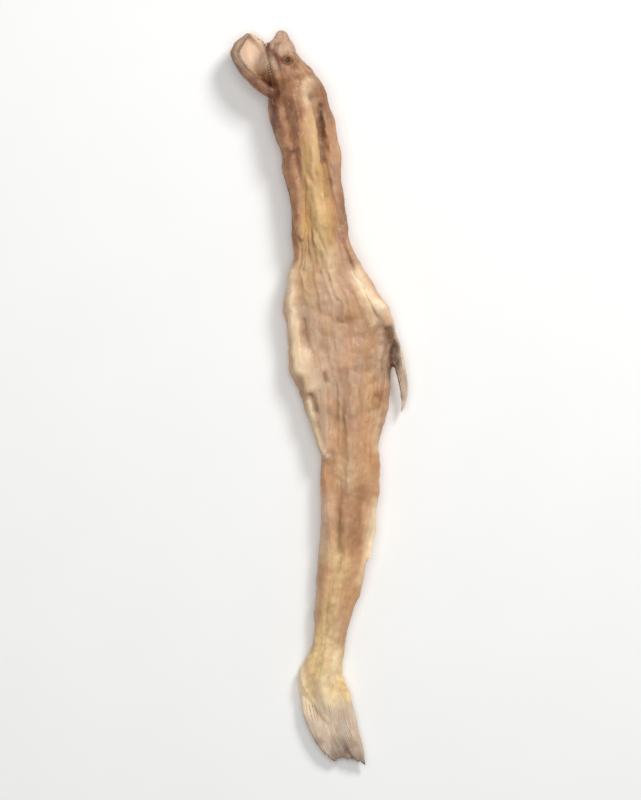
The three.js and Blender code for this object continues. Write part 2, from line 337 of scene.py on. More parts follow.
body_lines = np.array(list(BODY.values()), float)
body_lines[:, :2] += DRAWING_SHIFT[[1, 0]]
print("drawn lines:", len(BODY), "body places,", len(FINS), "fins")

# %% [markdown]
# ## The skin starts from the solid
# The dried fish is one continuous skin, from jaw to tail. It could be modelled again from circles and
# extrusions, but the CAD solid already has the measured form, so a copy of it is merged and remeshed
# into even small squares. The flat CAD facets are then smoothed away, less so on the thin fins and
# jaws, which would shrink.

# %% Copy, merge and remesh
VOXEL = 0.24 * MM
MERGE_DISTANCE = 0.001 * MM


def apply_modifier(piece, kind, **settings):
    modifier = piece.modifiers.new(kind.lower(), kind)
    for key, value in settings.items():
        setattr(modifier, key, value)
    depsgraph = bpy.context.evaluated_depsgraph_get()
    evaluated = piece.evaluated_get(depsgraph)
    piece.data = bpy.data.meshes.new_from_object(
        evaluated, preserve_all_data_layers=True, depsgraph=depsgraph
    )
    piece.modifiers.clear()


def vertex_array(mesh, collection="vertices", field="co"):
    items = getattr(mesh, collection)
    values = np.empty(len(items) * 3)
    items.foreach_get(field, values)
    return values.reshape(-1, 3)


bm = bmesh.new()
bm.from_mesh(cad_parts[NODE].data)
bmesh.ops.remove_doubles(bm, verts=bm.verts, dist=MERGE_DISTANCE)
skin_mesh = bpy.data.meshes.new("dried_skin")
bm.to_mesh(skin_mesh)
bm.free()
skin = link_object("dried_skin", skin_mesh)
apply_modifier(skin, "REMESH", mode="VOXEL", voxel_size=VOXEL)


def keep_largest_island(mesh):
    """A fin's thinnest tip can come off as loose crumbs. Only the fish itself is kept."""
    bm = bmesh.new()
    bm.from_mesh(mesh)
    islands = []
    for start in bm.verts:
        if start.tag:
            continue
        start.tag = True
        island = [start]
        for vert in island:
            for edge in vert.link_edges:
                other = edge.other_vert(vert)
                if not other.tag:
                    other.tag = True
                    island.append(other)
        islands.append(island)
    islands.sort(key=len)
    crumbs = [vert for island in islands[:-1] for vert in island]
    bmesh.ops.delete(bm, geom=crumbs, context="VERTS")
    bm.to_mesh(mesh)
    bm.free()
    return len(crumbs)


crumbs = keep_largest_island(skin.data)
print("remeshed skin:", len(skin.data.vertices), "vertices,", crumbs, "more in crumbs")

# %% [markdown]
# ## Finding the way round the fish
# Pleats run along the body and colours change across it, so each vertex gets its own place: `across`
# is -1 at the belly's edge and 1 at the back's, and `turn` is the angle round the body. A search tree
# of points on every fin says which fin a vertex belongs to, how far along it and between which rays.
# Another, of points on the skin between the jaw bones, says which way is out of the mouth.

# %% Places on the body
ZONE_STARTS = {"stock": -200, "trunk": -58, "belly": -8, "neck": 40, "head": 82}
ZONE_BLEND = 7


def smoothstep(value, low, high):
    share = np.clip((value - low) / (high - low), 0, 1)
    return share * share * (3 - 2 * share)


def between(value, low, high, soft):
    return smoothstep(value, low - soft, low + soft) * (1 - smoothstep(value, high - soft, high + soft))


def hump(value, middle, reach):
    return np.exp(-(((value - middle) / reach) ** 2))


def stroke(places, line, width):
    """1 on a drawn line seen from above, fading to 0 away from it."""
    drawn = np.array(line, float) + DRAWING_SHIFT[:2]
    nearest = np.full(len(places), 99.0)
    for a, b in zip(drawn, drawn[1:]):
        share = np.clip((places - a) @ (b - a) / ((b - a) @ (b - a)), 0, 1)
        nearest = np.minimum(nearest, np.linalg.norm(places - a - share[:, None] * (b - a), axis=1))
    return hump(nearest, 0, width)


def body_places(points):
    middle, half, edge = (np.interp(points[:, 1], body_lines[:, 0], body_lines[:, k]) for k in (1, 2, 3))
    across = (points[:, 0] - middle) / half
    return across, np.arctan2((points[:, 2] - edge) / BODY_HALF_HEIGHT, across)


def zones(y):
    """How far each vertex is in each stretch of the body; the shares add up to 1."""
    starts = [*ZONE_STARTS.values(), 999]
    return {name: between(y, starts[i], starts[i + 1], ZONE_BLEND) for i, name in enumerate(ZONE_STARTS)}


# %% Places on the fins
FIN_SAMPLES = (41, 81)
FIN_REACH = 0.55
FIN_EDGE_SHARE = 0.97
FIN_TIP_Y = -79
FIN_UPPER_SIDE = 0.25
fin_names = list(FINS)


def fin_tree():
    tree = KDTree(len(fin_names) * FIN_SAMPLES[0] * FIN_SAMPLES[1])
    places = []
    for number, fin in enumerate(FINS.values()):
        across, along = np.meshgrid(np.linspace(0, 1, FIN_SAMPLES[0]), np.linspace(0, 1, FIN_SAMPLES[1]))
        across, along = across.ravel(), along.ravel()
        for point, q, share in zip(fin_points(fin, across, along), across, along):
            tree.insert((point[0], point[1], 0), len(places))
            places.append((number, q, share))
    tree.balance()
    return tree, np.array(places)


def fin_places(points, normals, across):
    """For each vertex: its fin or -1, and its places across and along that fin."""
    tree, places = fin_tree()
    found = np.array([tree.find((x, y, 0))[1:] for x, y, _ in points.tolist()])
    near = places[found[:, 0].astype(int)]
    number = near[:, 0].astype(int)
    free = np.array([fin["free"] for fin in FINS.values()])[number]
    outside = (np.abs(across) > FIN_EDGE_SHARE) | (points[:, 1] < FIN_TIP_Y)
    belongs = (found[:, 1] < FIN_REACH) & np.where(free, outside, normals[:, 2] > FIN_UPPER_SIDE)
    return np.where(belongs, number, -1), near[:, 1], near[:, 2]


# %% Places on the jaws
JAW_SAMPLES = (61, 13)
JAW_START = 76
MOUTH_REACH = 1.7
JAW_NEAR_REACH = (1.6, 3.0)
JAW_FACING = (-0.1, 0.35)
JAW_LINING_Q = 0.06
JAW_RIM_Q = 0.2
JAW_RIM_REACH = 2.2


def jaw_sheet(jaw):
    """Points of the skin between a jaw's two bones, the way out of the mouth there, and their places."""
    along = np.linspace(0, 1, JAW_SAMPLES[0])
    left, right = along_line(jaw["left"], along), along_line(jaw["right"], along)
    outward = np.cross(np.gradient(left, axis=0) + np.gradient(right, axis=0), right - left)
    outward /= np.linalg.norm(outward, axis=1, keepdims=True)
    across = np.linspace(0, 1, JAW_SAMPLES[1])
    bulge = jaw["bulge"] * np.sin(np.pi * across)
    sheet = left + (right - left) * across[:, None, None] + outward * bulge[:, None, None]
    places = np.stack(np.broadcast_arrays(along, across[:, None]), axis=-1)
    return sheet.reshape(-1, 3), np.tile(outward, (JAW_SAMPLES[1], 1)), places.reshape(-1, 2)


def jaw_places(points, normals):
    """Nearness to either jaw, to the lower jaw's lining and to its upper bone."""
    sheets = [jaw_sheet(jaw) for jaw in (LOWER_JAW, UPPER_JAW)]
    sheet, outward, places = (np.concatenate(parts) for parts in zip(*sheets))
    tree = KDTree(len(sheet))
    for i, p in enumerate(sheet):
        tree.insert(p, i)
    tree.balance()
    far = (0, 99.0)
    found = np.array([tree.find(p)[1:] if p[1] > JAW_START else far for p in points.tolist()])
    index, reach = found[:, 0].astype(int), found[:, 1]
    lower = index < len(sheets[0][0])
    facing = (normals * outward[index]).sum(1)
    q = places[index, 1]
    near = 1 - smoothstep(reach, *JAW_NEAR_REACH)
    lining = lower * (reach < MOUTH_REACH) * smoothstep(-facing, *JAW_FACING) * (q > JAW_LINING_Q)
    rim = lower * (q < JAW_RIM_Q) * (reach < JAW_RIM_REACH)
    return near, lining, rim


points = vertex_array(skin.data) / MM
normals = vertex_array(skin.data, "vertex_normals", "vector")
across, turn = body_places(points)
fin_number, fin_across, fin_along = fin_places(points, normals, across)
jaws, lining, _ = jaw_places(points, normals)
fin_counts = {name: int((fin_number == i).sum()) for i, name in enumerate(fin_names)}
on_jaws, on_lining = int((jaws > 0.5).sum()), int((lining > 0.5).sum())
print("vertices on fins:", fin_counts, "on jaws:", on_jaws, "lining:", on_lining)

# %% Averages over neighbours
class Net:
    """The mesh's edges, for averages over neighbours."""

    def __init__(self, mesh):
        ends = np.empty(len(mesh.edges) * 2, int)
        mesh.edges.foreach_get("vertices", ends)
        self.a, self.b = ends.reshape(-1, 2).T
        self.size = len(mesh.vertices)
        degree = np.bincount(self.a, minlength=self.size) + np.bincount(self.b, minlength=self.size)
        self.count = np.maximum(degree, 1)

    def mean(self, values):
        sums_a = np.bincount(self.a, values[self.b], self.size)
        sums_b = np.bincount(self.b, values[self.a], self.size)
        return (sums_a + sums_b) / self.count

    def smooth(self, values, rounds):
        for _ in range(rounds):
            values = 0.5 * values + 0.5 * self.mean(values)
        return values

    def standing_out(self, points, normals, rounds):
        """How far each vertex stands above the mean of its surroundings, in mm."""
        blurred = np.stack([self.smooth(points[:, k], rounds) for k in range(3)], axis=-1)
        return self.smooth(((points - blurred) * normals).sum(1), 2)


net = Net(skin.data)
print("net of", len(net.a), "edges")

# %% Smooth the facets away
FACET_SMOOTHING = {"flesh": 44, "thin": 9, "root": 110, "loin": 80, "shoulder": 90}
ROOT_REACH = 2.4
ROOT_HEIGHT = (3, 5)
LOIN_START = (-16, -4)
# the furrow inside the shoulder's rim: its place across the body, half width there, and its two ends
SHOULDER = {"across": 0.68, "half": 0.22, "ends": (17, 36), "soft": 4}
EYE_KEEP = 3.2


def weigh(name, weights):
    group = skin.vertex_groups.new(name=name)
    for i in np.flatnonzero(weights > 0.01).tolist():
        group.add((i,), weights[i], "REPLACE")


eye_place = np.array([EYE["x"], EYE["y"]]) + DRAWING_SHIFT[:2]
at_eye = 1 - smoothstep(np.linalg.norm(points[:, :2] - eye_place, axis=1), 2.0, EYE_KEEP)
lying_roots = [fin["root"] for fin in FINS.values() if not fin["free"]]
at_root = np.max([stroke(points[:, :2], line, ROOT_REACH) for line in lying_roots], axis=0)
at_root *= smoothstep(points[:, 2], *ROOT_HEIGHT)
at_root = np.maximum(at_root, stroke(points[:, :2], FINS["dorsal"]["root"][:2], ROOT_REACH)) * (1 - jaws)
on_cover = fin_number == fin_names.index("gill_cover")
fin_weight = np.maximum(at_root, np.where(on_cover, 0.8, 0.12))
flesh_weight = np.where(fin_number >= 0, fin_weight, 1.0) * (1 - 0.8 * jaws) * (1 - 0.9 * at_eye)
on_upper_side = smoothstep(normals[:, 2], 0.4, 0.8) * (fin_number < 0)
on_loin = (1 - smoothstep(points[:, 1], *LOIN_START)) * on_upper_side
near_shoulder = hump(across, SHOULDER["across"], SHOULDER["half"])
along_shoulder = between(points[:, 1], *SHOULDER["ends"], SHOULDER["soft"])
in_furrow = near_shoulder * along_shoulder
weigh("flesh", flesh_weight)
weigh("thin", 1 - flesh_weight)
weigh("root", at_root)
weigh("loin", on_loin)
weigh("shoulder", in_furrow * on_upper_side)
for group, rounds in FACET_SMOOTHING.items():
    apply_modifier(skin, "SMOOTH", factor=0.5, iterations=rounds, vertex_group=group)
print("facets smoothed:", FACET_SMOOTHING)

# %% [markdown]
# ## Sculpting the dried form
# As the flesh loses its water the skin is too large for it, and gathers in pleats along the fish.
# Displacement could wait for the shader, but the outline and the exported mesh would stay smooth, so
# the vertices themselves move along their normals. The noise is read round the body and along it, so
# that the pleats draw together at the narrow tail stock and spread over the belly, as on the fish.

# %% Pleats that run round and along the body
# around: folds round the body, length: of one fold in mm, height: in mm, creased: with sharp valleys,
# strength: in the stock, trunk, belly, neck and head
PLEATS = {
    "folds": {
        "around": 1.9, "length": 32, "height": 1.2, "creased": False, "strength": (0.4, 0.5, 0.8, 1.0, 0.4),
    },
    "pleats": {
        "around": 4.0, "length": 26, "height": 0.9, "creased": True, "strength": (0.08, 0.1, 0.35, 0.75, 0.5),
    },
    "wrinkles": {
        "around": 7.0, "length": 8, "height": 0.36, "creased": True, "strength": (0.18, 0.2, 0.5, 0.55, 0.6),
    },
    "gathers": {
        "around": 2.2, "length": 2.1, "height": 0.18, "creased": False, "strength": (1.0, 0.9, 0.6, 0.4, 0.3),
    },
}
PLEAT_WANDER = {"size": (11, 20, 11), "turn": 0.5, "length": 3.0}
PATCH_SIZE = 8.0


def noise_at(positions):
    return np.array([noise.noise(p) for p in positions.tolist()])


def in_zones(strength, stretches):
    return sum(part * zone for part, zone in zip(strength, stretches.values()))


def pleats(points, turn, stretches):
    """Height of all the pleats. Their lines wander, and the finest come and go in patches."""
    wander = noise_at(points / PLEAT_WANDER["size"] + 23)
    angle = turn + PLEAT_WANDER["turn"] * wander
    ring = np.stack([np.cos(angle), np.sin(angle)], -1)
    y = points[:, 1] + PLEAT_WANDER["length"] * wander
    patches = smoothstep(noise_at(points / PATCH_SIZE + 51), -0.25, 0.35)
    total = np.zeros(len(points))
    for seed, shape in enumerate(PLEATS.values()):
        value = noise_at(np.column_stack([shape["around"] * ring + 9.7 * seed, y / shape["length"]]))
        if shape["creased"]:
            value = (np.abs(value) * 1.6 - 0.4) * (0.35 + 0.65 * patches)
        total += shape["height"] * value * in_zones(shape["strength"], stretches)
    return total


# %% Lumps, crinkles and muscle bands
# size: of one lump in mm, then as above
LUMPS = {
    "dents": {"size": 7.5, "height": 0.7, "creased": False, "strength": (0.6, 0.9, 1.0, 0.6, 0.5)},
    "crinkles": {"size": 4.6, "height": 0.4, "creased": True, "strength": (0.5, 0.4, 0.9, 0.3, 0.5)},
    "puckers": {"size": 1.6, "height": 0.16, "creased": False, "strength": (0.8, 0.8, 1.0, 0.7, 0.9)},
    "bones": {"size": 2.6, "height": 0.6, "creased": False, "strength": (0, 0, 0, 0, 1.0)},
}
MUSCLE = {"pitch": 2.7, "lean": 5.0, "bend": 0.42, "height": 0.07, "strength": (0.8, 1.0, 0.25, 0.15, 0.0)}


def lumps(points, stretches):
    total = np.zeros(len(points))
    for seed, shape in enumerate(LUMPS.values()):
        value = noise_at(points / shape["size"] + 7.3 * seed)
        if shape["creased"]:
            value = np.abs(value) * 1.6 - 0.4
        total += shape["height"] * value * in_zones(shape["strength"], stretches)
    return total


def muscle_bands(points, across, stretches):
    """The flank's muscle is stacked in bands that bend like a W, with a fine groove between them."""
    wander = noise_at(points / 6 + 77)
    bend = np.abs(np.abs(across) - MUSCLE["bend"])
    phase = (points[:, 1] + MUSCLE["lean"] * bend + 1.6 * wander) / MUSCLE["pitch"]
    grooves = np.abs(np.sin(np.pi * phase)) ** 0.5 - 0.8
    return MUSCLE["height"] * grooves * in_zones(MUSCLE["strength"], stretches)


# %% Ragged fin tips
RAGGED = {"from": 0.78, "between_rays": 0.045, "tears": 0.11, "tear_size": 0.16}
# the fin without rays: the share of it that is left at each y, the y where it has faded out, its foot on
# the body, and its free tip, of which a share is left too
SHRUNK = {
    "y": (-46, -36, -28), "left": (0.25, 0.9, 1.0), "fade": (-60, -54),
    "edge": 0.97, "tip": -43, "tip_left": 0.12,
}


def ragged_tips(points, number, across, along):
    """Draws a fin's skin back to its root, between the rays and where it has torn."""
    shift = np.zeros_like(points)
    for i, fin in enumerate(FINS.values()):
        if not fin["free"] or fin["rays"] == 0:
            continue
        on = np.flatnonzero(number == i)
        q = across[on]
        seed_line = np.column_stack([q / RAGGED["tear_size"], np.full(len(on), 3.3 * i), np.zeros(len(on))])
        tears = noise_at(seed_line)
        gaps = RAGGED["between_rays"] * np.abs(np.cos(np.pi * q * fin["rays"]))
        back = gaps + RAGGED["tears"] * np.clip(tears, 0, 1)
        back *= smoothstep(along[on], RAGGED["from"], 1.0)
        whole = along_line(fin["tip"], q) - along_line(fin["root"], q)
        shift[on] = -whole * back[:, None]
    return shift


def shrunk_fin(points, number, across):
    """The adipose fin has no rays to hold it out, so it has dried down to a low rim on the back."""
    y = points[:, 1]
    half = np.interp(y, body_lines[:, 0], body_lines[:, 2])
    out = np.clip(across - SHRUNK["edge"], 0, None) * half * smoothstep(y, *SHRUNK["fade"])
    beyond = np.clip(SHRUNK["tip"] - y, 0, None) * (number == fin_names.index("adipose"))
    shift = np.zeros_like(points)
    shift[:, 0] = (np.interp(y, SHRUNK["y"], SHRUNK["left"]) - 1) * out
    shift[:, 1] = (1 - SHRUNK["tip_left"]) * beyond
    return shift


# %% An uneven outline
WARPS = {"slow": {"size": 17.0, "reach": 0.8}, "quick": {"size": 5.0, "reach": 0.3}}
CALM_ENDS = (88, 97)


def warp(points):
    """Shifts the whole form a little sideways, so that no edge stays straight. Later pieces shift too."""
    shift = np.zeros_like(points)
    flat = points * (1, 1, 0)
    for seed, shape in enumerate(WARPS.values()):
        for axis in (0, 1):
            shift[:, axis] += shape["reach"] * noise_at(flat / shape["size"] + 13.7 * (seed + 2 * axis))
    return shift * (1 - smoothstep(np.abs(points[:, 1]), *CALM_ENDS))[:, None]


# %% [markdown]
# ### Strokes
# Beside the pleats that lie everywhere, this fish has single folds, rims and grooves, at places that
# the photograph shows. Each is a stroke: a line on the fish seen from above, which is raised or pressed
# in here and coloured further on. A sculpting brush would do the same by hand, but a table of lines can
# be read, measured and changed.

# %% Strokes of form and colour
# mask, half width in mm, strength of the colour, height in mm, and the line as drawn
STROKES = {
    "flap_edge": (
        "cream", 1.5, 0.9, 0.7,
        [(-7.2, 35), (-7.6, 30), (-7.2, 25), (-6.6, 20), (-6.0, 14), (-5.0, 8)],
    ),
    "flap_middle": ("cream", 1.5, 0.5, 0.4, [(-2.6, 12.5), (-2.2, 8), (-0.8, 3.5)]),
    "flap_tip": ("cream", 0.9, 0.9, 0.6, [(-1.6, -1), (-0.4, -8), (1.4, -13), (3, -15)]),
    "shoulder_rim": ("cream", 1.5, 1.3, 0.6, [(10.8, 33.8), (12.4, 30.6), (15, 27.2), (17.6, 25)]),
    "back_rim": ("cream", 0.9, 0.4, 0, [(20, 23), (22, 19), (23.6, 14), (24.2, 8)]),
    "dorsal_edge": ("cream", 1.0, 0.5, 0, [(25.4, 3), (25.5, -2)]),
    "loin_rim": ("cream", 0.8, 0.4, 0.3, [(16.6, -3), (16.4, -8), (16.2, -13)]),
    "trunk_rim": ("cream", 1.2, 0.5, 0.3, [(15.6, -28), (14.8, -35), (13.8, -43), (11.4, -50)]),
    "stock_rim": ("cream", 0.8, 0.7, 0, [(5.6, -67), (5.2, -71), (4.0, -76)]),
    "tail_edge": ("cream", 1.3, 1.0, 0, [(-4.4, -73), (-4.4, -78), (-3.8, -83), (-2.6, -86)]),
    # painted light on the tail's root, over the hollow that its relief also fills
    "fin_painted_light": ("cream", 2.2, 0.6, 0.4, [(0.2, -77.5), (1.2, -81), (2.4, -85), (3.2, -89)]),
    "nape_spot": ("cream", 1.5, 0.6, 0.5, [(-1.8, 85), (-2.6, 82.5), (-2, 79.5)]),
    "trunk_pale": ("cream", 1.8, 0.3, 0, [(2.4, -28), (1.8, -36), (1.4, -42)]),
    # painted highlight down the middle of the neck, on a low ridge
    "neck_shine": ("cream", 1.0, 0.25, 0.4, [(-0.6, 77), (-0.8, 70), (-0.8, 62)]),
    "breast_pale": ("cream", 1.8, 0.4, 0.2, [(3, 40), (3.4, 35), (4.2, 31), (4.4, 27.5)]),
    "throat_pale": ("cream", 1.5, 0.2, 0, [(4.4, 64), (4.8, 57)]),
    "flank_pale": ("cream", 2.0, 0.3, 0.3, [(14.5, 25), (16, 21)]),
    "loin_pale": ("cream", 2.6, 0.3, 0, [(8, -16), (8, -22)]),
    # the strokes from here to jaw_underline press grooves in, and their colour is painted shade in the
    # grooves, gaps and under the jaw
    "neck_groove": ("groove_shade", 0.8, 0.9, -0.8, [(1.4, 79), (1.3, 70), (1.8, 64)]),
    "back_groove": ("groove_shade", 1.5, 1.6, -1.0, [(19.6, 18.5), (20.8, 14), (21.4, 8), (22, 1)]),
    "throat_corner": ("groove_shade", 1.1, 0.8, -0.3, [(-12.6, 83.8), (-11.2, 82)]),
    "flap_gap": ("groove_shade", 0.6, 0.7, -0.8, [(-1.4, 1), (-0.2, -3)]),
    "flap_spot": ("groove_shade", 0.6, 0.6, -0.4, [(2.2, 6.5), (2.4, 5)]),
    "flap_line": ("groove_shade", 0.7, 0.25, -0.35, [(-3.8, 21), (-3, 17), (-2, 14), (-0.6, 12)]),
    "jaw_underline": ("groove_shade", 1.0, 0.5, 0, [(-20.6, 90), (-18.4, 87.4), (-15, 84.6)]),
    "jaw_hinge": ("ember", 1.6, 0.8, 0, [(-16.5, 86.2), (-14.4, 84), (-11, 82)]),
    "flap_shade": ("umber", 1.0, 0.5, -0.3, [(-3.6, 21), (-3.2, 17), (-2.8, 13)]),
    "flank_shade": ("umber", 2.4, 0.45, 0, [(18.4, 16), (18.4, 8), (18.2, 2), (16.6, -8)]),
    "breast_shade": ("umber", 1.4, 0.25, 0, [(-1, 39), (-0.4, 32)]),
    "throat_shade": ("umber", 1.5, 0.7, -0.3, [(7.2, 57), (6.8, 50), (7, 44)]),
    "trunk_shade": ("umber", 2.0, 0.45, 0, [(11.4, -25), (11.6, -31), (11.2, -37)]),
    "rim_shade": ("umber", 1.5, 0.3, 0, [(11.4, -39), (11, -43), (9.8, -47)]),
    "cheek_shade": ("umber", 1.7, 0.9, 0, [(-6.4, 87), (-5.6, 83), (-5, 78), (-5, 74)]),
    "cheek_spot": ("umber", 0.9, 0.6, -0.3, [(-6.6, 85), (-6.4, 81.5)]),
    "nape_shade": ("umber", 1.8, 0.6, 0, [(1.8, 87), (2.6, 83), (3.2, 78)]),
    "gold_shade": ("umber", 1.2, 0.3, 0, [(-2.8, 78), (-2.6, 72)]),
    "nape_dot": ("umber", 0.9, 0.7, -0.2, [(-4.6, 88), (-4.4, 86)]),
    # painted shade along the underside of the throat, at its left edge
    "throat_edge_shade": ("ember", 1.2, 1.0, -0.3, [(-11.9, 84), (-11.5, 82), (-11.2, 78), (-11, 73)]),
    # painted shadow of the mouth's gap, on the upper jaw's bone
    "gape_shade": ("ember", 0.9, 1.1, 0, [(-14.2, 97), (-12, 94), (-9.6, 91.2)]),
    "throat_patch": ("ember", 1.5, 0.5, 0, [(-11.8, 84), (-11.4, 81.5)]),
    "flank_grey": ("silver", 2.2, 1.0, 0, [(15, 26), (17, 20), (17.5, 8)]),
    "flap_grey": ("silver", 1.3, 1.0, 0, [(1, 4), (2, -4), (3, -10)]),
    "tail_root": ("straw", 3.0, 1.0, 0, [(1.5, -64), (1.5, -72), (1.5, -80)]),
    "throat_gold": ("straw", 2.0, 0.35, 0.3, [(0, 56), (0.6, 50), (1.4, 41)]),
    "breast_gold": ("gold", 2.0, 0.8, 0, [(-1.4, 40), (-2.6, 30), (-2.4, 26)]),
    "trunk_gold": ("straw", 2.2, 0.7, 0.2, [(4.6, -41), (7, -45), (6, -49)]),
    "stock_gold": ("straw", 2.4, 0.6, 0, [(4, -53), (3, -62)]),
    "flank_gold": ("gold", 1.6, 0.5, 0, [(14, 6), (14.6, 1), (15.4, -4)]),
    "loin_brown": ("rose", 3.0, 0.9, 0, [(8, -27), (9, -33)]),
    "breast_mauve": ("mauve", 2.4, 0.8, 0, [(2.5, 36), (4, 28)]),
    "belly_mauve": ("mauve", 3.2, 0.8, 0, [(5.5, 14), (7.5, 4)]),
    "belly_rose": ("rose", 2.6, 0.5, 0, [(7, 2), (8.5, -8)]),
    "shoulder_mauve": ("mauve", 2.0, 0.6, 0, [(6.5, 44), (7, 38), (8, 33)]),
    "trunk_mauve": ("mauve", 2.0, 1.2, 0, [(2.4, -27), (1.8, -38)]),
    "stock_mauve": ("mauve", 1.4, 0.9, 0, [(-0.4, -57), (-0.6, -63)]),
    "cheek_flesh": ("mauve", 1.8, 1.0, 0.2, [(-12.4, 91.4), (-10, 90)]),
    "mouth_flesh": ("pink", 1.1, 0.7, 0, [(-14.6, 91.6), (-12.4, 91.2), (-11, 90)]),
    "fin_shade": ("tip", 1.6, 0.35, 0, [(7, -85), (7.6, -89), (8.6, -93)]),
    "fin_shade_left": ("tip", 1.0, 0.5, 0, [(-2.8, -86.5), (-1.2, -89), (0.8, -93)]),
}
STROKE_WOBBLE = {"size": 3.0, "reach": 0.5}
WOBBLE_SEEDS = (11.3, 31.7)


def wobbled(places):
    """Places seen from above, shifted a little, so that no stroke runs straight."""
    flat = places * (1, 1, 0) / STROKE_WOBBLE["size"]
    shift = np.stack([noise_at(flat + seed) for seed in WOBBLE_SEEDS], axis=-1)
    return places[:, :2] + STROKE_WOBBLE["reach"] * shift


def stroke_relief(places):
    """Height added by every stroke; places is wobbled(points), worked out once for every use."""
    total = np.zeros(len(places))
    for _, width, _, height, line in STROKES.values():
        if height:
            total += height * stroke(places, line, width)
    return total


print(len(STROKES), "strokes,", sum(1 for s in STROKES.values() if s[3]), "of them in relief")

# %% Sinews under the skin
# start: y of the headward end, across: place between the belly's edge and the back's, stray: of it in a step
SINEWS = {"count": 70, "start": (-4, 78), "length": (8, 26), "across": (-0.85, 0.85), "stray": 0.06}
SINEW_WIDTH = (0.28, 0.6)
SINEW_HEIGHT = (0.1, 0.3)
SINEW_STEPS = 6


def sinew_relief(points, places):
    """Thin ridges that run along the body, each on its own line; places is wobbled(points)."""
    total = np.zeros(len(points))
    for _ in range(SINEWS["count"]):
        y = rng.uniform(*SINEWS["start"]) - rng.uniform(*SINEWS["length"]) * np.linspace(0, 1, SINEW_STEPS)
        strays = [rng.uniform(-SINEWS["stray"], SINEWS["stray"]) for _ in range(SINEW_STEPS)]
        across = rng.uniform(*SINEWS["across"]) + np.cumsum(strays)
        middle, half = (np.interp(y, body_lines[:, 0], body_lines[:, k]) for k in (1, 2))
        line = np.column_stack([middle + across * half, y]) - DRAWING_SHIFT[:2]
        near = np.flatnonzero((points[:, 1] < y[0] + 2) & (points[:, 1] > y[-1] - 2))
        total[near] += rng.uniform(*SINEW_HEIGHT) * stroke(places[near], line, rng.uniform(*SINEW_WIDTH))
    return total


# %% Rays of the fins that lie on the body
LYING_RAYS = {"width": 0.34, "height": 0.15, "span": (0.12, 0.94), "steps": 12}


def lying_rays(places):
    """Fins that dried flat on the body show their rays as low ridges in the skin; places is wobbled."""
    shares = np.linspace(*LYING_RAYS["span"], LYING_RAYS["steps"])
    total = np.zeros(len(places))
    for fin in FINS.values():
        if fin["free"]:
            continue
        for number in range(fin["rays"]):
            line = fin_points(fin, np.full(len(shares), (number + 0.5) / fin["rays"]), shares)[:, :2]
            near = np.flatnonzero(np.all((places > line.min(0) - 2) & (places < line.max(0) + 2), axis=1))
            ridge = stroke(places[near], line - DRAWING_SHIFT[:2], LYING_RAYS["width"])
            total[near] = np.maximum(total[near], ridge)
    return LYING_RAYS["height"] * total


# %% A round snout
SNOUT = {"from": 95.5, "to": 99.5, "reach": 2.2, "round": 1.3}


def round_snout(points):
    """The solid ends in a small flat face, so the snout's edge is drawn back all round it."""
    y, x, _, z = BODY["snout_tip"]
    off = np.hypot(points[:, 0] - x - DRAWING_SHIFT[0], points[:, 2] - z) / SNOUT["reach"]
    back = SNOUT["round"] * np.clip(off, 0, 1) ** 2 * (1 - smoothstep(off, 2.0, 2.6))
    return np.outer(-back * smoothstep(points[:, 1], SNOUT["from"], SNOUT["to"]), (0, 1, 0))


# %% Move the vertices
FIN_BLEND = 60
SETTLE = 2

points = vertex_array(skin.data) / MM
normals = vertex_array(skin.data, "vertex_normals", "vector")
stretches = zones(points[:, 1])
on_flesh = net.smooth(np.where(fin_number >= 0, 0.3, 1.0), FIN_BLEND) * (1 - 0.75 * jaws) * (1 - 0.7 * at_eye)
on_top = smoothstep(normals[:, 2], -0.1, 0.5) * (1 - jaws)

places = wobbled(points)
raised = pleats(points, turn, stretches) + lumps(points, stretches) + muscle_bands(points, across, stretches)
raised = (raised + sinew_relief(points, places) * on_top) * on_flesh
raised += (stroke_relief(places) + lying_rays(places)) * on_top
low, high = np.array(cad_low) / MM, np.array(cad_high) / MM
room = np.minimum(np.min(high - points, axis=1), np.min((points - low)[:, :2], axis=1))
raised *= smoothstep(points[:, 2], 0.2, 1.6) * smoothstep(room, 0, 1.8)
sideways = ragged_tips(points, fin_number, fin_across, fin_along) + shrunk_fin(points, fin_number, across)
sideways += round_snout(points) + warp(points)
points += normals * raised[:, None] + sideways
points = np.clip(np.stack([net.smooth(points[:, k], SETTLE) for k in range(3)], axis=-1), low, high)
skin.data.vertices.foreach_set("co", (points * MM).ravel())
skin.data.update()
print("sculpted by", round(float(raised.min()), 2), "to", round(float(raised.max()), 2), "mm")

# %% [markdown]
# ## A lighter mesh
# Even squares waste most of their faces on smooth flesh. Decimation keeps them where the form turns
# sharply, so the skin stays under 200,000 triangles and still holds its pleats and edges.

# %% Thin the mesh out
SKIN_TRIANGLES = 194_000

quads = len(skin.data.polygons)
apply_modifier(skin, "DECIMATE", ratio=SKIN_TRIANGLES / (2 * quads))
skin.data.polygons.foreach_set("use_smooth", np.ones(len(skin.data.polygons), bool))
skin.data.calc_loop_triangles()
print("skin:", len(skin.data.vertices), "vertices,", len(skin.data.loop_triangles), "triangles")

# %% [markdown]
# ## Painting by place
# The colours follow the form of the fish: rims have dried pale and waxy, ridges are painted a little paler,
# creases and grooves get painted shade, the middle of the neck is gold, the belly is mauve with a silver
# bloom, the tail is ashen.
# Each of these becomes a mask from 0 to 1 on the vertices, and the material mixes the colours.

# %% Ridges and creases, from the mesh itself
CURVATURE_ROUNDS = {"fine": 14, "broad": 90}
# how far the skin stands out or in, in mm, where a ridge or crease begins and where it is full
FINE_RELIEF = (0.02, 0.16)
BROAD_RELIEF = (0.12, 0.6)

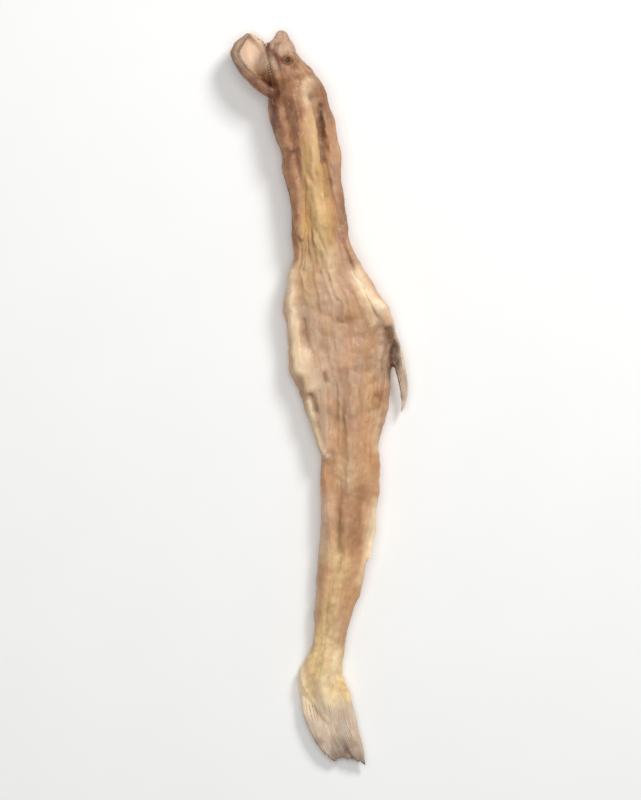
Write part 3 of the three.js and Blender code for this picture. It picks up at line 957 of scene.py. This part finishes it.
points = vertex_array(skin.data) / MM
normals = vertex_array(skin.data, "vertex_normals", "vector")
drawn = points - warp(points)
across, turn = body_places(drawn)
fin_number, _, fin_along = fin_places(drawn, normals, across)
_, lining, rim = jaw_places(drawn, normals)
net = Net(skin.data)
fine, broad = (net.standing_out(points, normals, rounds) for rounds in CURVATURE_ROUNDS.values())
ridge = smoothstep(fine, *FINE_RELIEF)
# painted shade: darker wherever the skin lies below its surroundings, finely or broadly
crease_shade = np.clip(smoothstep(-fine, *FINE_RELIEF) + smoothstep(-broad, *BROAD_RELIEF), 0, 1)
print("ridges", round(float(ridge.mean()), 3), "creases", round(float(crease_shade.mean()), 3))

# %% Where the colours lie
# both ends along the fish and how softly they fade, in mm
ALONG = {"gold": (34, 80, 6), "plum_and_shade": (42, 84, 5), "rose": (38, 86, 6), "straw": (-88, -68, 4)}
# the border between plum and gold: its place across the neck, at three places along it
GOLD_EDGE = {"y": (45, 60, 77), "across": (-0.7, -0.4, 0.14)}
# where a colour begins and where it is full, in four measures of place
RAMPS = {
    # across the body, from -1 to 1
    "gold_back": (0.36, 0.5), "rose": (0.52, 0.66), "mauve_flank": (0.1, 0.8),
    # along the fish, in mm
    "tail": (84, 88), "ash_snout": (88, 98), "ash_rim": (88, 92), "pink": (87.5, 91.5),
    "ember": (85.5, 90), "tip_rim": (83, 89),
    # along a fin, from 0 to 1
    "straw": (0.25, 0.5), "ash_fin": (0.12, 0.5), "tip_fin": (0.66, 1.0),
    # in the noise
    "plum_drift": (0.1, 0.5), "mauve_drift": (-0.3, 0.3), "silver": (0.05, 0.4),
}
# sizes of the noises in mm, their seeds, and how far the borders wander along and across
BORDER_SIZE = 9
DRIFT = {"size": (4, 9, 4), "seed": 60}
BLOTCH = {"size": 3.1, "seed": 90}
WANDER = {"along": 3, "across": 0.12}
FIN_BORDER = 24


def ramp(value, name):
    return smoothstep(value, *RAMPS[name])


y = points[:, 1] + WANDER["along"] * noise_at(points / BORDER_SIZE)
drift = noise_at(points / DRIFT["size"] + DRIFT["seed"])
blotch = noise_at(points / BLOTCH["size"] + BLOTCH["seed"])
side = across + WANDER["across"] * drift
up = smoothstep(normals[:, 2], -0.2, 0.6)
on_fin = {name: (fin_number == i).astype(float) for i, name in enumerate(fin_names)}
on_fin["tail"] = np.maximum(on_fin["tail"], ramp(-drawn[:, 1], "tail"))
on_fin = {name: net.smooth(values, FIN_BORDER) for name, values in on_fin.items()}
any_fin = np.clip(sum(on_fin.values()), 0, 1)
bare = (1 - lining) * (1 - rim)
stretches = zones(y)
neck, belly, trunk, stock, head = (stretches[name] for name in ("neck", "belly", "trunk", "stock", "head"))
gold_edge = np.interp(y, GOLD_EDGE["y"], GOLD_EDGE["across"])
print("share on fins", round(float(any_fin.mean()), 3), "bare", round(float(bare.mean()), 3))

# %% Masks on the skin
# the numbers in front of the places are shares of the full colour
masks = {
    "gold": between(y, *ALONG["gold"])
    * smoothstep(side, gold_edge - 0.1, gold_edge + 0.12)
    * (1 - ramp(side, "gold_back")),
    # purple-brown on the neck's left side, made darker there as painted shade, and faint blotches on the
    # belly
    "plum_and_shade": between(y, *ALONG["plum_and_shade"]) * (1 - smoothstep(side, gold_edge - 0.2, gold_edge + 0.05))
    + belly * ramp(drift, "plum_drift") * 0.4,
    "rose": between(y, *ALONG["rose"]) * ramp(side, "rose"),
    "mauve": 0.75 * belly * ramp(-drift, "mauve_drift") + 0.25 * trunk * ramp(-side, "mauve_flank"),
    "umber": head * bare,
    "silver": belly * up * (0.5 * hump(side, -0.5, 0.5) + 0.6 * ramp(blotch, "silver"))
    + 0.6 * on_fin["pelvic"],
    "straw": between(y, *ALONG["straw"]) * (1 - on_fin["tail"] * ramp(fin_along, "straw")),
    "ash": on_fin["tail"] * ramp(fin_along + 0.1 * blotch, "ash_fin")
    + 0.8 * (on_fin["dorsal"] + on_fin["anal"])
    + 0.35 * ramp(drawn[:, 1] + 2.5 * blotch + 1.5 * drift, "ash_snout") * bare
    + 0.4 * rim * ramp(y, "ash_rim"),
    "cream": ridge * (0.12 * belly + 0.12 * trunk + 0.1 * neck)
    + 0.7 * on_fin["adipose"]
    + 0.3 * stock * hump(side, 0.3, 0.4),
    "pink": lining * ramp(y, "pink"),
    # the dark red of the gills in the mouth's corner, and painted shade in the head's creases
    "ember": lining * (1 - ramp(y, "ember")) * 0.15 + 0.4 * head * crease_shade * (1 - lining),
    # painted shade in the creases, less on fins, in the mouth and on the trunk and stock
    "crease_shade": crease_shade * (1 - 0.6 * any_fin) * (1 - lining) * (1 - 0.7 * (trunk + stock)),
    "tip": on_fin["tail"] * ramp(fin_along + 0.15 * blotch, "tip_fin") + 0.85 * rim * ramp(y, "tip_rim"),
    # painted shade in the grooves, laid by the strokes only
    "groove_shade": np.zeros(len(points)),
}
places = wobbled(drawn)
on_top = smoothstep(normals[:, 2], -0.4, 0.2)
for mask, width, strength, _, line in STROKES.values():
    masks[mask] = masks[mask] + strength * on_top * stroke(places, line, width)
print(len(masks), "masks, with", len(STROKES), "strokes painted in")

# %% Write the masks to the mesh
MASK_SMOOTHING = 4
GRAIN_ROUND = 8

for name, values in masks.items():
    layer = skin.data.attributes.new(name, "FLOAT", "POINT")
    layer.data.foreach_set("value", np.clip(net.smooth(values, MASK_SMOOTHING), 0, 1))
grain = np.column_stack([GRAIN_ROUND * np.cos(turn), GRAIN_ROUND * np.sin(turn), points[:, 1]])
layer = skin.data.attributes.new("grain", "FLOAT_VECTOR", "POINT")
layer.data.foreach_set("vector", grain.ravel())
print("masks:", {name: round(float(np.clip(v, 0, 1).mean()), 3) for name, v in masks.items()})

# %% [markdown]
# ## Dried skin
# The skin is leathery and a little translucent, with a waxy sheen on the ridges. Its base is a tan
# that wanders lengthwise, and the masks lay the other colours over it, each broken up by noise so
# that no zone has a clean border. Fine fibres are drawn along the body from the `grain` attribute,
# and small dark specks and a pale bloom lie over everything.

# %% Colours of the skin
TAN = srgb(210, 164, 120)
DEEP_TAN = srgb(188, 138, 96)
SKIN_COLOURS = {
    "mauve": srgb(194, 152, 126),
    "gold": srgb(206, 164, 104),
    # the fish's purple-brown, dark enough to hold painted shade on the neck's left side
    "plum_and_shade": srgb(150, 98, 70),
    "rose": srgb(164, 116, 88),
    "umber": srgb(130, 84, 54),
    "silver": srgb(200, 174, 148),
    "straw": srgb(246, 218, 156),
    "ash": srgb(226, 208, 190),
    "cream": srgb(252, 226, 188),
    "pink": srgb(230, 199, 172),
    "tip": srgb(112, 92, 80),
    "ember": srgb(108, 52, 30),
    # the next two colours are painted shade, for the creases and for the grooves
    "crease_shade": srgb(112, 70, 46),
    "groove_shade": srgb(84, 50, 30),
}
COVER = {
    "mauve": 0.9, "gold": 0.85, "plum_and_shade": 0.85, "rose": 0.8, "umber": 0.85, "silver": 0.65, "straw": 0.95,
    "ash": 0.85, "cream": 0.95, "pink": 0.95, "tip": 0.8, "ember": 0.9, "crease_shade": 0.45, "groove_shade": 0.9,
}
LESS_BROKEN = ("cream", "pink", "tip", "ember", "crease_shade", "groove_shade")
BLOOM = srgb(226, 208, 184)


# %% Skin material
def skin_colour(tree, grain, place):
    """The tan base, the zones, then bloom, mottling and specks."""
    lengthwise = add_node(tree, "ShaderNodeMapping", Vector=grain, Scale=(0.4, 0.4, 0.14)).outputs["Vector"]
    slow = add_node(tree, "ShaderNodeTexNoise", Vector=lengthwise, Scale=1.0, Detail=3.0).outputs["Fac"]
    mottle = add_node(
        tree, "ShaderNodeTexNoise", Vector=place, Scale=300.0, Detail=5.0, Roughness=0.62
    ).outputs["Fac"]
    patches = [
        stretched(tree, mottle, 0.38, 0.6, 0.4, 1.0),
        stretched(tree, mottle, 0.42, 0.62, 1.0, 0.4),
    ]
    slight = stretched(tree, mottle, 0.38, 0.6, 0.8, 1.0)
    colour = mix(tree, stretched(tree, slow, 0.3, 0.7, 0, 1), DEEP_TAN, TAN)
    for number, (name, above) in enumerate(SKIN_COLOURS.items()):
        cover = times(tree, attribute(tree, name).outputs["Fac"], COVER[name])
        broken = slight if name in LESS_BROKEN else patches[number % 2]
        colour = mix(tree, times(tree, cover, broken), colour, above)

    bloom = add_node(
        tree, "ShaderNodeTexNoise", Vector=place, Scale=720.0, Detail=3.0, Roughness=0.7
    ).outputs["Fac"]
    colour = mix(tree, stretched(tree, bloom, 0.56, 0.74, 0, 0.3), colour, BLOOM)
    broad = add_node(tree, "ShaderNodeTexNoise", Vector=place, Scale=130.0, Detail=4.0).outputs["Fac"]
    colour = shaded(tree, colour, stretched(tree, broad, 0.3, 0.7, 0.86, 1.13))
    specks = add_node(
        tree, "ShaderNodeTexNoise", Vector=place, Scale=1100.0, Detail=3.0, Roughness=0.7
    ).outputs["Fac"]
    return shaded(tree, colour, stretched(tree, specks, 0.6, 0.72, 1.0, 0.78))


def skin_material():
    material, tree, shader = new_material("dried_flesh_skin")
    grain = attribute(tree, "grain").outputs["Vector"]
    place = add_node(tree, "ShaderNodeTexCoord").outputs["Object"]
    fibre_way = add_node(tree, "ShaderNodeMapping", Vector=grain, Scale=(2.6, 2.6, 0.16)).outputs["Vector"]
    fibres = add_node(tree, "ShaderNodeTexNoise", Vector=fibre_way, Scale=1.0, Detail=4.0).outputs["Fac"]
    grit = add_node(tree, "ShaderNodeTexNoise", Vector=place, Scale=1500.0, Detail=2.0).outputs["Fac"]
    shrunk_way = add_node(tree, "ShaderNodeMapping", Vector=grain, Scale=(1.5, 1.5, 0.28)).outputs["Vector"]
    shrunk = add_node(
        tree, "ShaderNodeTexNoise", {"noise_type": "RIDGED_MULTIFRACTAL"},
        Vector=shrunk_way, Scale=1.0, Detail=5.0,
    ).outputs["Fac"]

    colour = skin_colour(tree, grain, place)
    colour = shaded(tree, colour, stretched(tree, fibres, 0.3, 0.7, 0.93, 1.05))
    fill(tree, shader.inputs["Base Color"], colour)
    fill(tree, shader.inputs["Roughness"], stretched(tree, grit, 0.3, 0.7, 0.36, 0.58))
    shader.inputs["Specular IOR Level"].default_value = 0.38
    shader.inputs["Subsurface Weight"].default_value = 0.12
    shader.inputs["Subsurface Radius"].default_value = (1.0, 0.45, 0.25)
    shader.inputs["Subsurface Scale"].default_value = 0.8 * MM

    fibre_bump = add_node(
        tree, "ShaderNodeBump", Strength=0.25, Distance=0.2 * MM, Height=fibres
    ).outputs["Normal"]
    shrunk_bump = add_node(
        tree, "ShaderNodeBump", Strength=0.5, Distance=0.18 * MM, Height=shrunk, Normal=fibre_bump
    ).outputs["Normal"]
    grit_bump = add_node(
        tree, "ShaderNodeBump", Strength=0.4, Distance=0.12 * MM, Height=grit, Normal=shrunk_bump
    ).outputs["Normal"]
    fill(tree, shader.inputs["Normal"], grit_bump)
    return material


skin.data.materials.clear()
skin.data.materials.append(skin_material())
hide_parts(NODE)
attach(skin, "root")
print(skin.name, "has", len(SKIN_COLOURS), "colours over its tan")

# %% [markdown]
# ## Strands
# Fin rays, teeth and gill threads are all thin and tapering. A curve with a bevel could
# make them, but a mesh can keep, on each vertex, its share of the way from root to tip, and the
# materials use that. Each strand starts as a capped circle and is extruded ring by ring along a path.
# Its small mesh is then added to the others of its kind, so that each kind is one piece.

# %% Strands along paths
STRAND_SIDES = 6


def ring_frames(path, radii):
    """Matrices that stand a ring at each point of a path, facing along it, with no twist."""
    frames = []
    turn = before = None
    for i, point in enumerate(path):
        ahead = (path[min(i + 1, len(path) - 1)] - path[max(i - 1, 0)]).normalized()
        turn = before.rotation_difference(ahead) @ turn if before else ahead.to_track_quat("Z", "Y")
        before = ahead
        frames.append(Matrix.LocRotScale(point, turn, Vector((radii[i],) * 3)))
    return frames


class Strands:
    """Many closed strands in one mesh."""

    def __init__(self, name):
        self.name, self.all, self.shares = name, bmesh.new(), []

    def add(self, path, radii):
        low, high = np.array(cad_low), np.array(cad_high)
        path = [Vector(np.clip(p, low + 1.05 * r, high - 1.05 * r)) for p, r in zip(path, radii)]
        frames = ring_frames(path, radii)
        bm = bmesh.new()
        bmesh.ops.create_circle(bm, cap_ends=True, segments=STRAND_SIDES, radius=1.0, matrix=frames[0])
        end = next(iter(bm.faces))
        for before, here in zip(frames, frames[1:]):
            grown = bmesh.ops.extrude_face_region(bm, geom=[end])["geom"]
            end = next(item for item in grown if isinstance(item, bmesh.types.BMFace))
            bmesh.ops.transform(bm, matrix=here @ before.inverted(), verts=end.verts)
        bmesh.ops.recalc_face_normals(bm, faces=bm.faces)
        strand = bpy.data.meshes.new("strand")
        bm.to_mesh(strand)
        bm.free()
        self.all.from_mesh(strand)
        bpy.data.meshes.remove(strand)
        self.shares += [i / (len(path) - 1) for i in range(len(path)) for _ in range(STRAND_SIDES)]

    def finish(self, material):
        mesh = bpy.data.meshes.new(self.name)
        self.all.to_mesh(mesh)
        self.all.free()
        mesh.attributes.new("share", "FLOAT", "POINT").data.foreach_set("value", self.shares)
        return dress(self.name, mesh, material)


def dress(name, mesh, material):
    """A finished small piece: smooth, coloured, and riding on the fish."""
    mesh.polygons.foreach_set("use_smooth", np.ones(len(mesh.polygons), bool))
    mesh.materials.append(material)
    piece = link_object(name, mesh)
    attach(piece, "root")
    mesh.calc_loop_triangles()
    print(name, len(mesh.loop_triangles), "triangles")
    return piece


# %% The skin under a place
skin_tree = BVHTree.FromPolygons(
    [v.co for v in skin.data.vertices],
    [tuple(t.vertices) for t in skin.data.loop_triangles],
    all_triangles=True,
)


def skin_at(x, y, above=True):
    """Point and normal of the skin, seen from straight above or from straight below; places in mm."""
    start, way = (Vector((x * MM, y * MM, 1)), Vector((0, 0, -1)))
    if not above:
        start, way = -start, -way
        start.xy = x * MM, y * MM
    point, normal, _, _ = skin_tree.ray_cast(start, way)
    return point, normal


print("skin searched by", len(skin.data.loop_triangles), "triangles")

# %% [markdown]
# ## Fin rays
# A fin is thin skin over a fan of bony rays. As it dries the skin sinks between them, so on the tail and
# the dorsal fin, which stand free, the rays show as pale threads. The drawing already has each fin's root
# and tip lines, so a ray is a line from one to the other, laid on the skin of both faces. Grooves in the
# skin would do from afar, but threads keep their uneven ends. The tail's rays fork halfway.

# %% Lay the rays
# share of the fin where the rays start and end, and radius at root and tip in mm
RAYS = {
    "tail": {"span": (0.14, 0.99), "radius": (0.17, 0.07)},
    "dorsal": {"span": (0.28, 0.98), "radius": (0.14, 0.06)},
}
RAY_STEPS = 18
RAY_STARTS = 0.16
RAY_ENDS = 0.08
RAY_WANDER = 0.32
RAY_SINK = {"end": 1.15, "middle": 0.6, "slope": 0.25}
RAY_DROP = 0.7 * MM


def ray_path(fin, q, fork, span, above):
    """Points on the skin along one ray, up to where the fin ends. A fork leaves its ray sideways."""
    shares = np.linspace(*span, RAY_STEPS)
    seed = rng.uniform(0, 99)
    sway = np.array([noise.noise((3 * s, seed, 0)) for s in shares])
    q = q + (fork * smoothstep(shares, span[0], 1.0) + RAY_WANDER * sway) / fin["rays"]
    path = []
    places = fin_points(fin, np.clip(q, 0.01, 0.99), shares)
    for x, y, _ in places + warp(places):
        point, normal = skin_at(x, y, above)
        if point is None or (path and abs(point.z - path[-1].z) > RAY_DROP):
            break
        path.append(point)
    return path


def lay_ray(strands, path, radius, above):
    """A ray comes out of the skin slowly, and thins towards its tip."""
    if len(path) < 5:
        return
    shares = np.linspace(0, 1, len(path))
    radii = MM * (radius[0] + (radius[1] - radius[0]) * shares)
    out = smoothstep(shares, 0, RAY_SINK["slope"]) * (1 - smoothstep(shares, 1 - RAY_SINK["slope"] / 2, 1))
    sink = RAY_SINK["end"] + (RAY_SINK["middle"] - RAY_SINK["end"]) * out
    depth = sink * radii * (1 if above else -1)
    strands.add([p - Vector((0, 0, d)) for p, d in zip(path, depth)], radii.tolist())


rays = Strands("fin_rays")
for name, ray in RAYS.items():
    fin = FINS[name]
    for i in range(fin["rays"]):
        q = (i + 0.5 + rng.uniform(-0.3, 0.3)) / fin["rays"]
        span = (ray["span"][0] + rng.uniform(0, RAY_STARTS), ray["span"][1] - rng.uniform(0, RAY_ENDS))
        radius = [r * rng.uniform(0.7, 1.2) for r in ray["radius"]]
        for above in (True, False):
            lay_ray(rays, ray_path(fin, q, 0, span, above), radius, above)
            if name == "tail":
                fork = (rng.uniform(0.4, 0.6), span[1])
                lay_ray(rays, ray_path(fin, q, 0.5, fork, above), [0.7 * r for r in radius], above)


def ray_material():
    material, tree, shader = new_material("dried_flesh_ray")
    place = add_node(tree, "ShaderNodeTexCoord").outputs["Object"]
    patch = add_node(tree, "ShaderNodeTexNoise", Vector=place, Scale=260.0, Detail=3.0).outputs["Fac"]
    colour = mix(tree, stretched(tree, patch, 0.35, 0.65, 0, 1), srgb(228, 210, 190), srgb(178, 150, 126))
    dark_end = stretched(tree, attribute(tree, "share").outputs["Fac"], 0.55, 1.0, 0, 0.85)
    fill(tree, shader.inputs["Base Color"], mix(tree, dark_end, colour, srgb(134, 104, 84)))
    fill(tree, shader.inputs["Roughness"], stretched(tree, patch, 0.3, 0.7, 0.5, 0.75))
    shader.inputs["Specular IOR Level"].default_value = 0.25
    shader.inputs["Subsurface Weight"].default_value = 0.1
    shader.inputs["Subsurface Scale"].default_value = 0.4 * MM
    return material


rays.finish(ray_material())

# %% [markdown]
# ## Teeth
# The fish is a hunter, with rows of thin teeth that lean back into the mouth. Cones would do from
# afar, but the real teeth are bent, so each is a short strand that curves towards the jaw's hinge.

# %% Plant the teeth
TOOTH_STEPS = 6
# a jaw, its bone, the way out of the skin between the bones that the teeth take, how far they lean away
# from the other bone, and their number
TOOTH_ROWS = [
    (LOWER_JAW, "left", -1.0, -0.7, 20),
    (LOWER_JAW, "right", -1.0, 0.35, 15),
    (UPPER_JAW, "left", 1.0, 0.35, 18),
]
TOOTH_SPAN = (0.34, 0.97)
TOOTH_LENGTH = (0.4, 1.0)
TOOTH_RADIUS = (0.16, 0.03)
TOOTH_CURL = 0.45
TOOTH_STRAY = 0.4
TOOTH_SUNK = 0.3
TOOTH_GAP = 0.7 * MM


def unit(vectors):
    return vectors / np.linalg.norm(vectors, axis=-1, keepdims=True)


def tooth_row(strands, jaw, bone, way, lean_out, count):
    step = (TOOTH_SPAN[1] - TOOTH_SPAN[0]) / count
    along = np.linspace(*TOOTH_SPAN, count) + [TOOTH_STRAY * step * rng.uniform(-1, 1) for _ in range(count)]
    other = "right" if bone == "left" else "left"
    line, opposite = along_line(jaw[bone], along), along_line(jaw[other], along)
    onward = unit(np.gradient(line, axis=0))
    between_bones = opposite - line if bone == "left" else line - opposite
    outward = unit(np.cross(onward, between_bones))
    points_at = unit(way * outward + lean_out * unit(line - opposite + 1e-6))
    bone_radius = JAW_RADIUS["hinge"] + (JAW_RADIUS["tip"] - JAW_RADIUS["hinge"]) * along
    roots = line + points_at * bone_radius[:, None]
    roots += warp(roots)
    shares = np.linspace(0, 1, TOOTH_STEPS)[:, None]
    radii = MM * (TOOTH_RADIUS[0] + (TOOTH_RADIUS[1] - TOOTH_RADIUS[0]) * shares[:, 0] ** 0.8)
    for i in range(count):
        length = rng.uniform(*TOOTH_LENGTH) * (0.7 + 0.5 * math.sin(math.pi * i / count))
        lean = np.array([rng.uniform(-0.15, 0.15) for _ in range(3)])
        on_skin, _, _, gap = skin_tree.find_nearest(Vector(roots[i]) * MM)
        if gap > TOOTH_GAP:
            continue
        bent = (points_at[i] + lean) * shares - onward[i] * TOOTH_CURL * shares**2
        path = np.array(on_skin) / MM - TOOTH_SUNK * points_at[i] + (length + TOOTH_SUNK) * bent
        strands.add([Vector(p) * MM for p in path], radii.tolist())


def tooth_material():
    material, tree, shader = new_material("dried_flesh_tooth")
    share = attribute(tree, "share").outputs["Fac"]
    place = add_node(tree, "ShaderNodeTexCoord").outputs["Object"]
    stain = add_node(tree, "ShaderNodeTexNoise", Vector=place, Scale=900.0, Detail=2.0).outputs["Fac"]
    colour = mix(tree, stretched(tree, share, 0.2, 0.7, 0, 1), srgb(168, 128, 92), srgb(238, 226, 200))
    fill(tree, shader.inputs["Base Color"], shaded(tree, colour, stretched(tree, stain, 0.3, 0.7, 0.8, 1.05)))
    fill(tree, shader.inputs["Roughness"], stretched(tree, stain, 0.3, 0.7, 0.2, 0.4))
    return material


teeth = Strands("needle_teeth")
for row in TOOTH_ROWS:
    tooth_row(teeth, *row)
teeth.finish(tooth_material())

# %% [markdown]
# ## Gill threads
# In the corner of the mouth the dried gills show as a dark red comb. A red patch of colour would be
# flat there, so short threads stand out of the lining, in rows and each a little astray.

# %% Comb of gill threads
THREAD = {
    "along": (0.06, 0.36), "rows": 9, "across": (0.2, 0.95), "columns": 9,
    "length": (1.0, 2.4), "radius": (0.15, 0.05),
}


def gill_threads(strands):
    sheet, outward, places = jaw_sheet(LOWER_JAW)
    for along in np.linspace(*THREAD["along"], THREAD["rows"]):
        for q in np.linspace(*THREAD["across"], THREAD["columns"]):
            near = np.argmin(np.abs(places - (along, q)).sum(1))
            stray = np.array([rng.uniform(-0.5, 0.9), rng.uniform(0.2, 1.2), rng.uniform(-0.2, 0.3)])
            way = unit(-outward[near] + stray)
            length = rng.uniform(*THREAD["length"])
            droop = np.array([0, 0.25, -0.35])
            path = np.array([sheet[near] + length * (way * s + droop * s * s) for s in np.linspace(0, 1, 5)])
            radii = np.linspace(*THREAD["radius"], 5) * MM
            strands.add([Vector(p) * MM for p in path + warp(path)], radii.tolist())


def thread_material():
    material, tree, shader = new_material("dried_flesh_gill")
    place = add_node(tree, "ShaderNodeTexCoord").outputs["Object"]
    clot = add_node(tree, "ShaderNodeTexNoise", Vector=place, Scale=420.0, Detail=3.0).outputs["Fac"]
    colour = mix(tree, stretched(tree, clot, 0.35, 0.65, 0, 1), srgb(168, 96, 66), srgb(206, 138, 104))
    fill(tree, shader.inputs["Base Color"], colour)
    fill(tree, shader.inputs["Roughness"], stretched(tree, clot, 0.3, 0.7, 0.35, 0.6))
    return material


threads = Strands("gill_threads")
gill_threads(threads)
threads.finish(thread_material())

# %% [markdown]
# ## Eye
# The eye has shrunk back into its socket. It is a flattened ball with a puckered skin, clouded in the
# middle, darkest round that and brown at its rim. A painted spot would stay flat when it is seen from
# the side. The socket is in the CAD solid, so the ball only has to sit in it.

# %% Sunken eye
EYE_FLATNESS = 0.5
EYE_SINK = 0.35 * MM
EYE_PUCKER = 0.2 * MM
EYE_DENT = 0.45

eye = np.array([[*eye_place, 0.0]])
eye_x, eye_y, _ = (eye + warp(eye))[0]
socket, _ = skin_at(eye_x, eye_y)
bm = bmesh.new()
bmesh.ops.create_uvsphere(bm, u_segments=36, v_segments=20, radius=EYE["radius"] * MM)
for vert in bm.verts:
    reach = vert.co.xy.length / (EYE["radius"] * MM)
    if vert.co.z > 0:
        vert.co.z *= 1 - EYE_DENT * hump(reach, 0, 0.6)
    vert.co += vert.co.normalized() * EYE_PUCKER * noise.noise(vert.co / (0.7 * MM))
bmesh.ops.scale(bm, vec=(1, 1, EYE_FLATNESS), verts=bm.verts)
bmesh.ops.translate(bm, vec=socket - Vector((0, 0, EYE_SINK)), verts=bm.verts)
eye_mesh = bpy.data.meshes.new("sunken_eye")
bm.to_mesh(eye_mesh)
bm.free()


def eye_material():
    material, tree, shader = new_material("dried_flesh_eye")
    place = add_node(tree, "ShaderNodeTexCoord").outputs["Object"]
    centred = add_node(tree, "ShaderNodeMapping", Vector=place, Location=[-c for c in socket])
    reach = add_node(
        tree, "ShaderNodeVectorMath", {"operation": "LENGTH"}, Vector=centred.outputs["Vector"]
    ).outputs["Value"]
    cloud = add_node(tree, "ShaderNodeTexNoise", Vector=place, Scale=1600.0, Detail=3.0).outputs["Fac"]
    inner = stretched(tree, reach, 0.0002, 0.0009, 0, 1)
    colour = mix(tree, inner, srgb(98, 70, 50), srgb(72, 46, 30))
    outer = stretched(tree, reach, 0.0008, 0.0014, 0, 1)
    colour = mix(tree, outer, colour, srgb(132, 90, 62))
    fill(tree, shader.inputs["Base Color"], shaded(tree, colour, stretched(tree, cloud, 0.3, 0.7, 0.7, 1.2)))
    fill(tree, shader.inputs["Roughness"], stretched(tree, cloud, 0.3, 0.7, 0.5, 0.8))
    shader.inputs["Specular IOR Level"].default_value = 0.15
    return material


dress("sunken_eye", eye_mesh, eye_material())
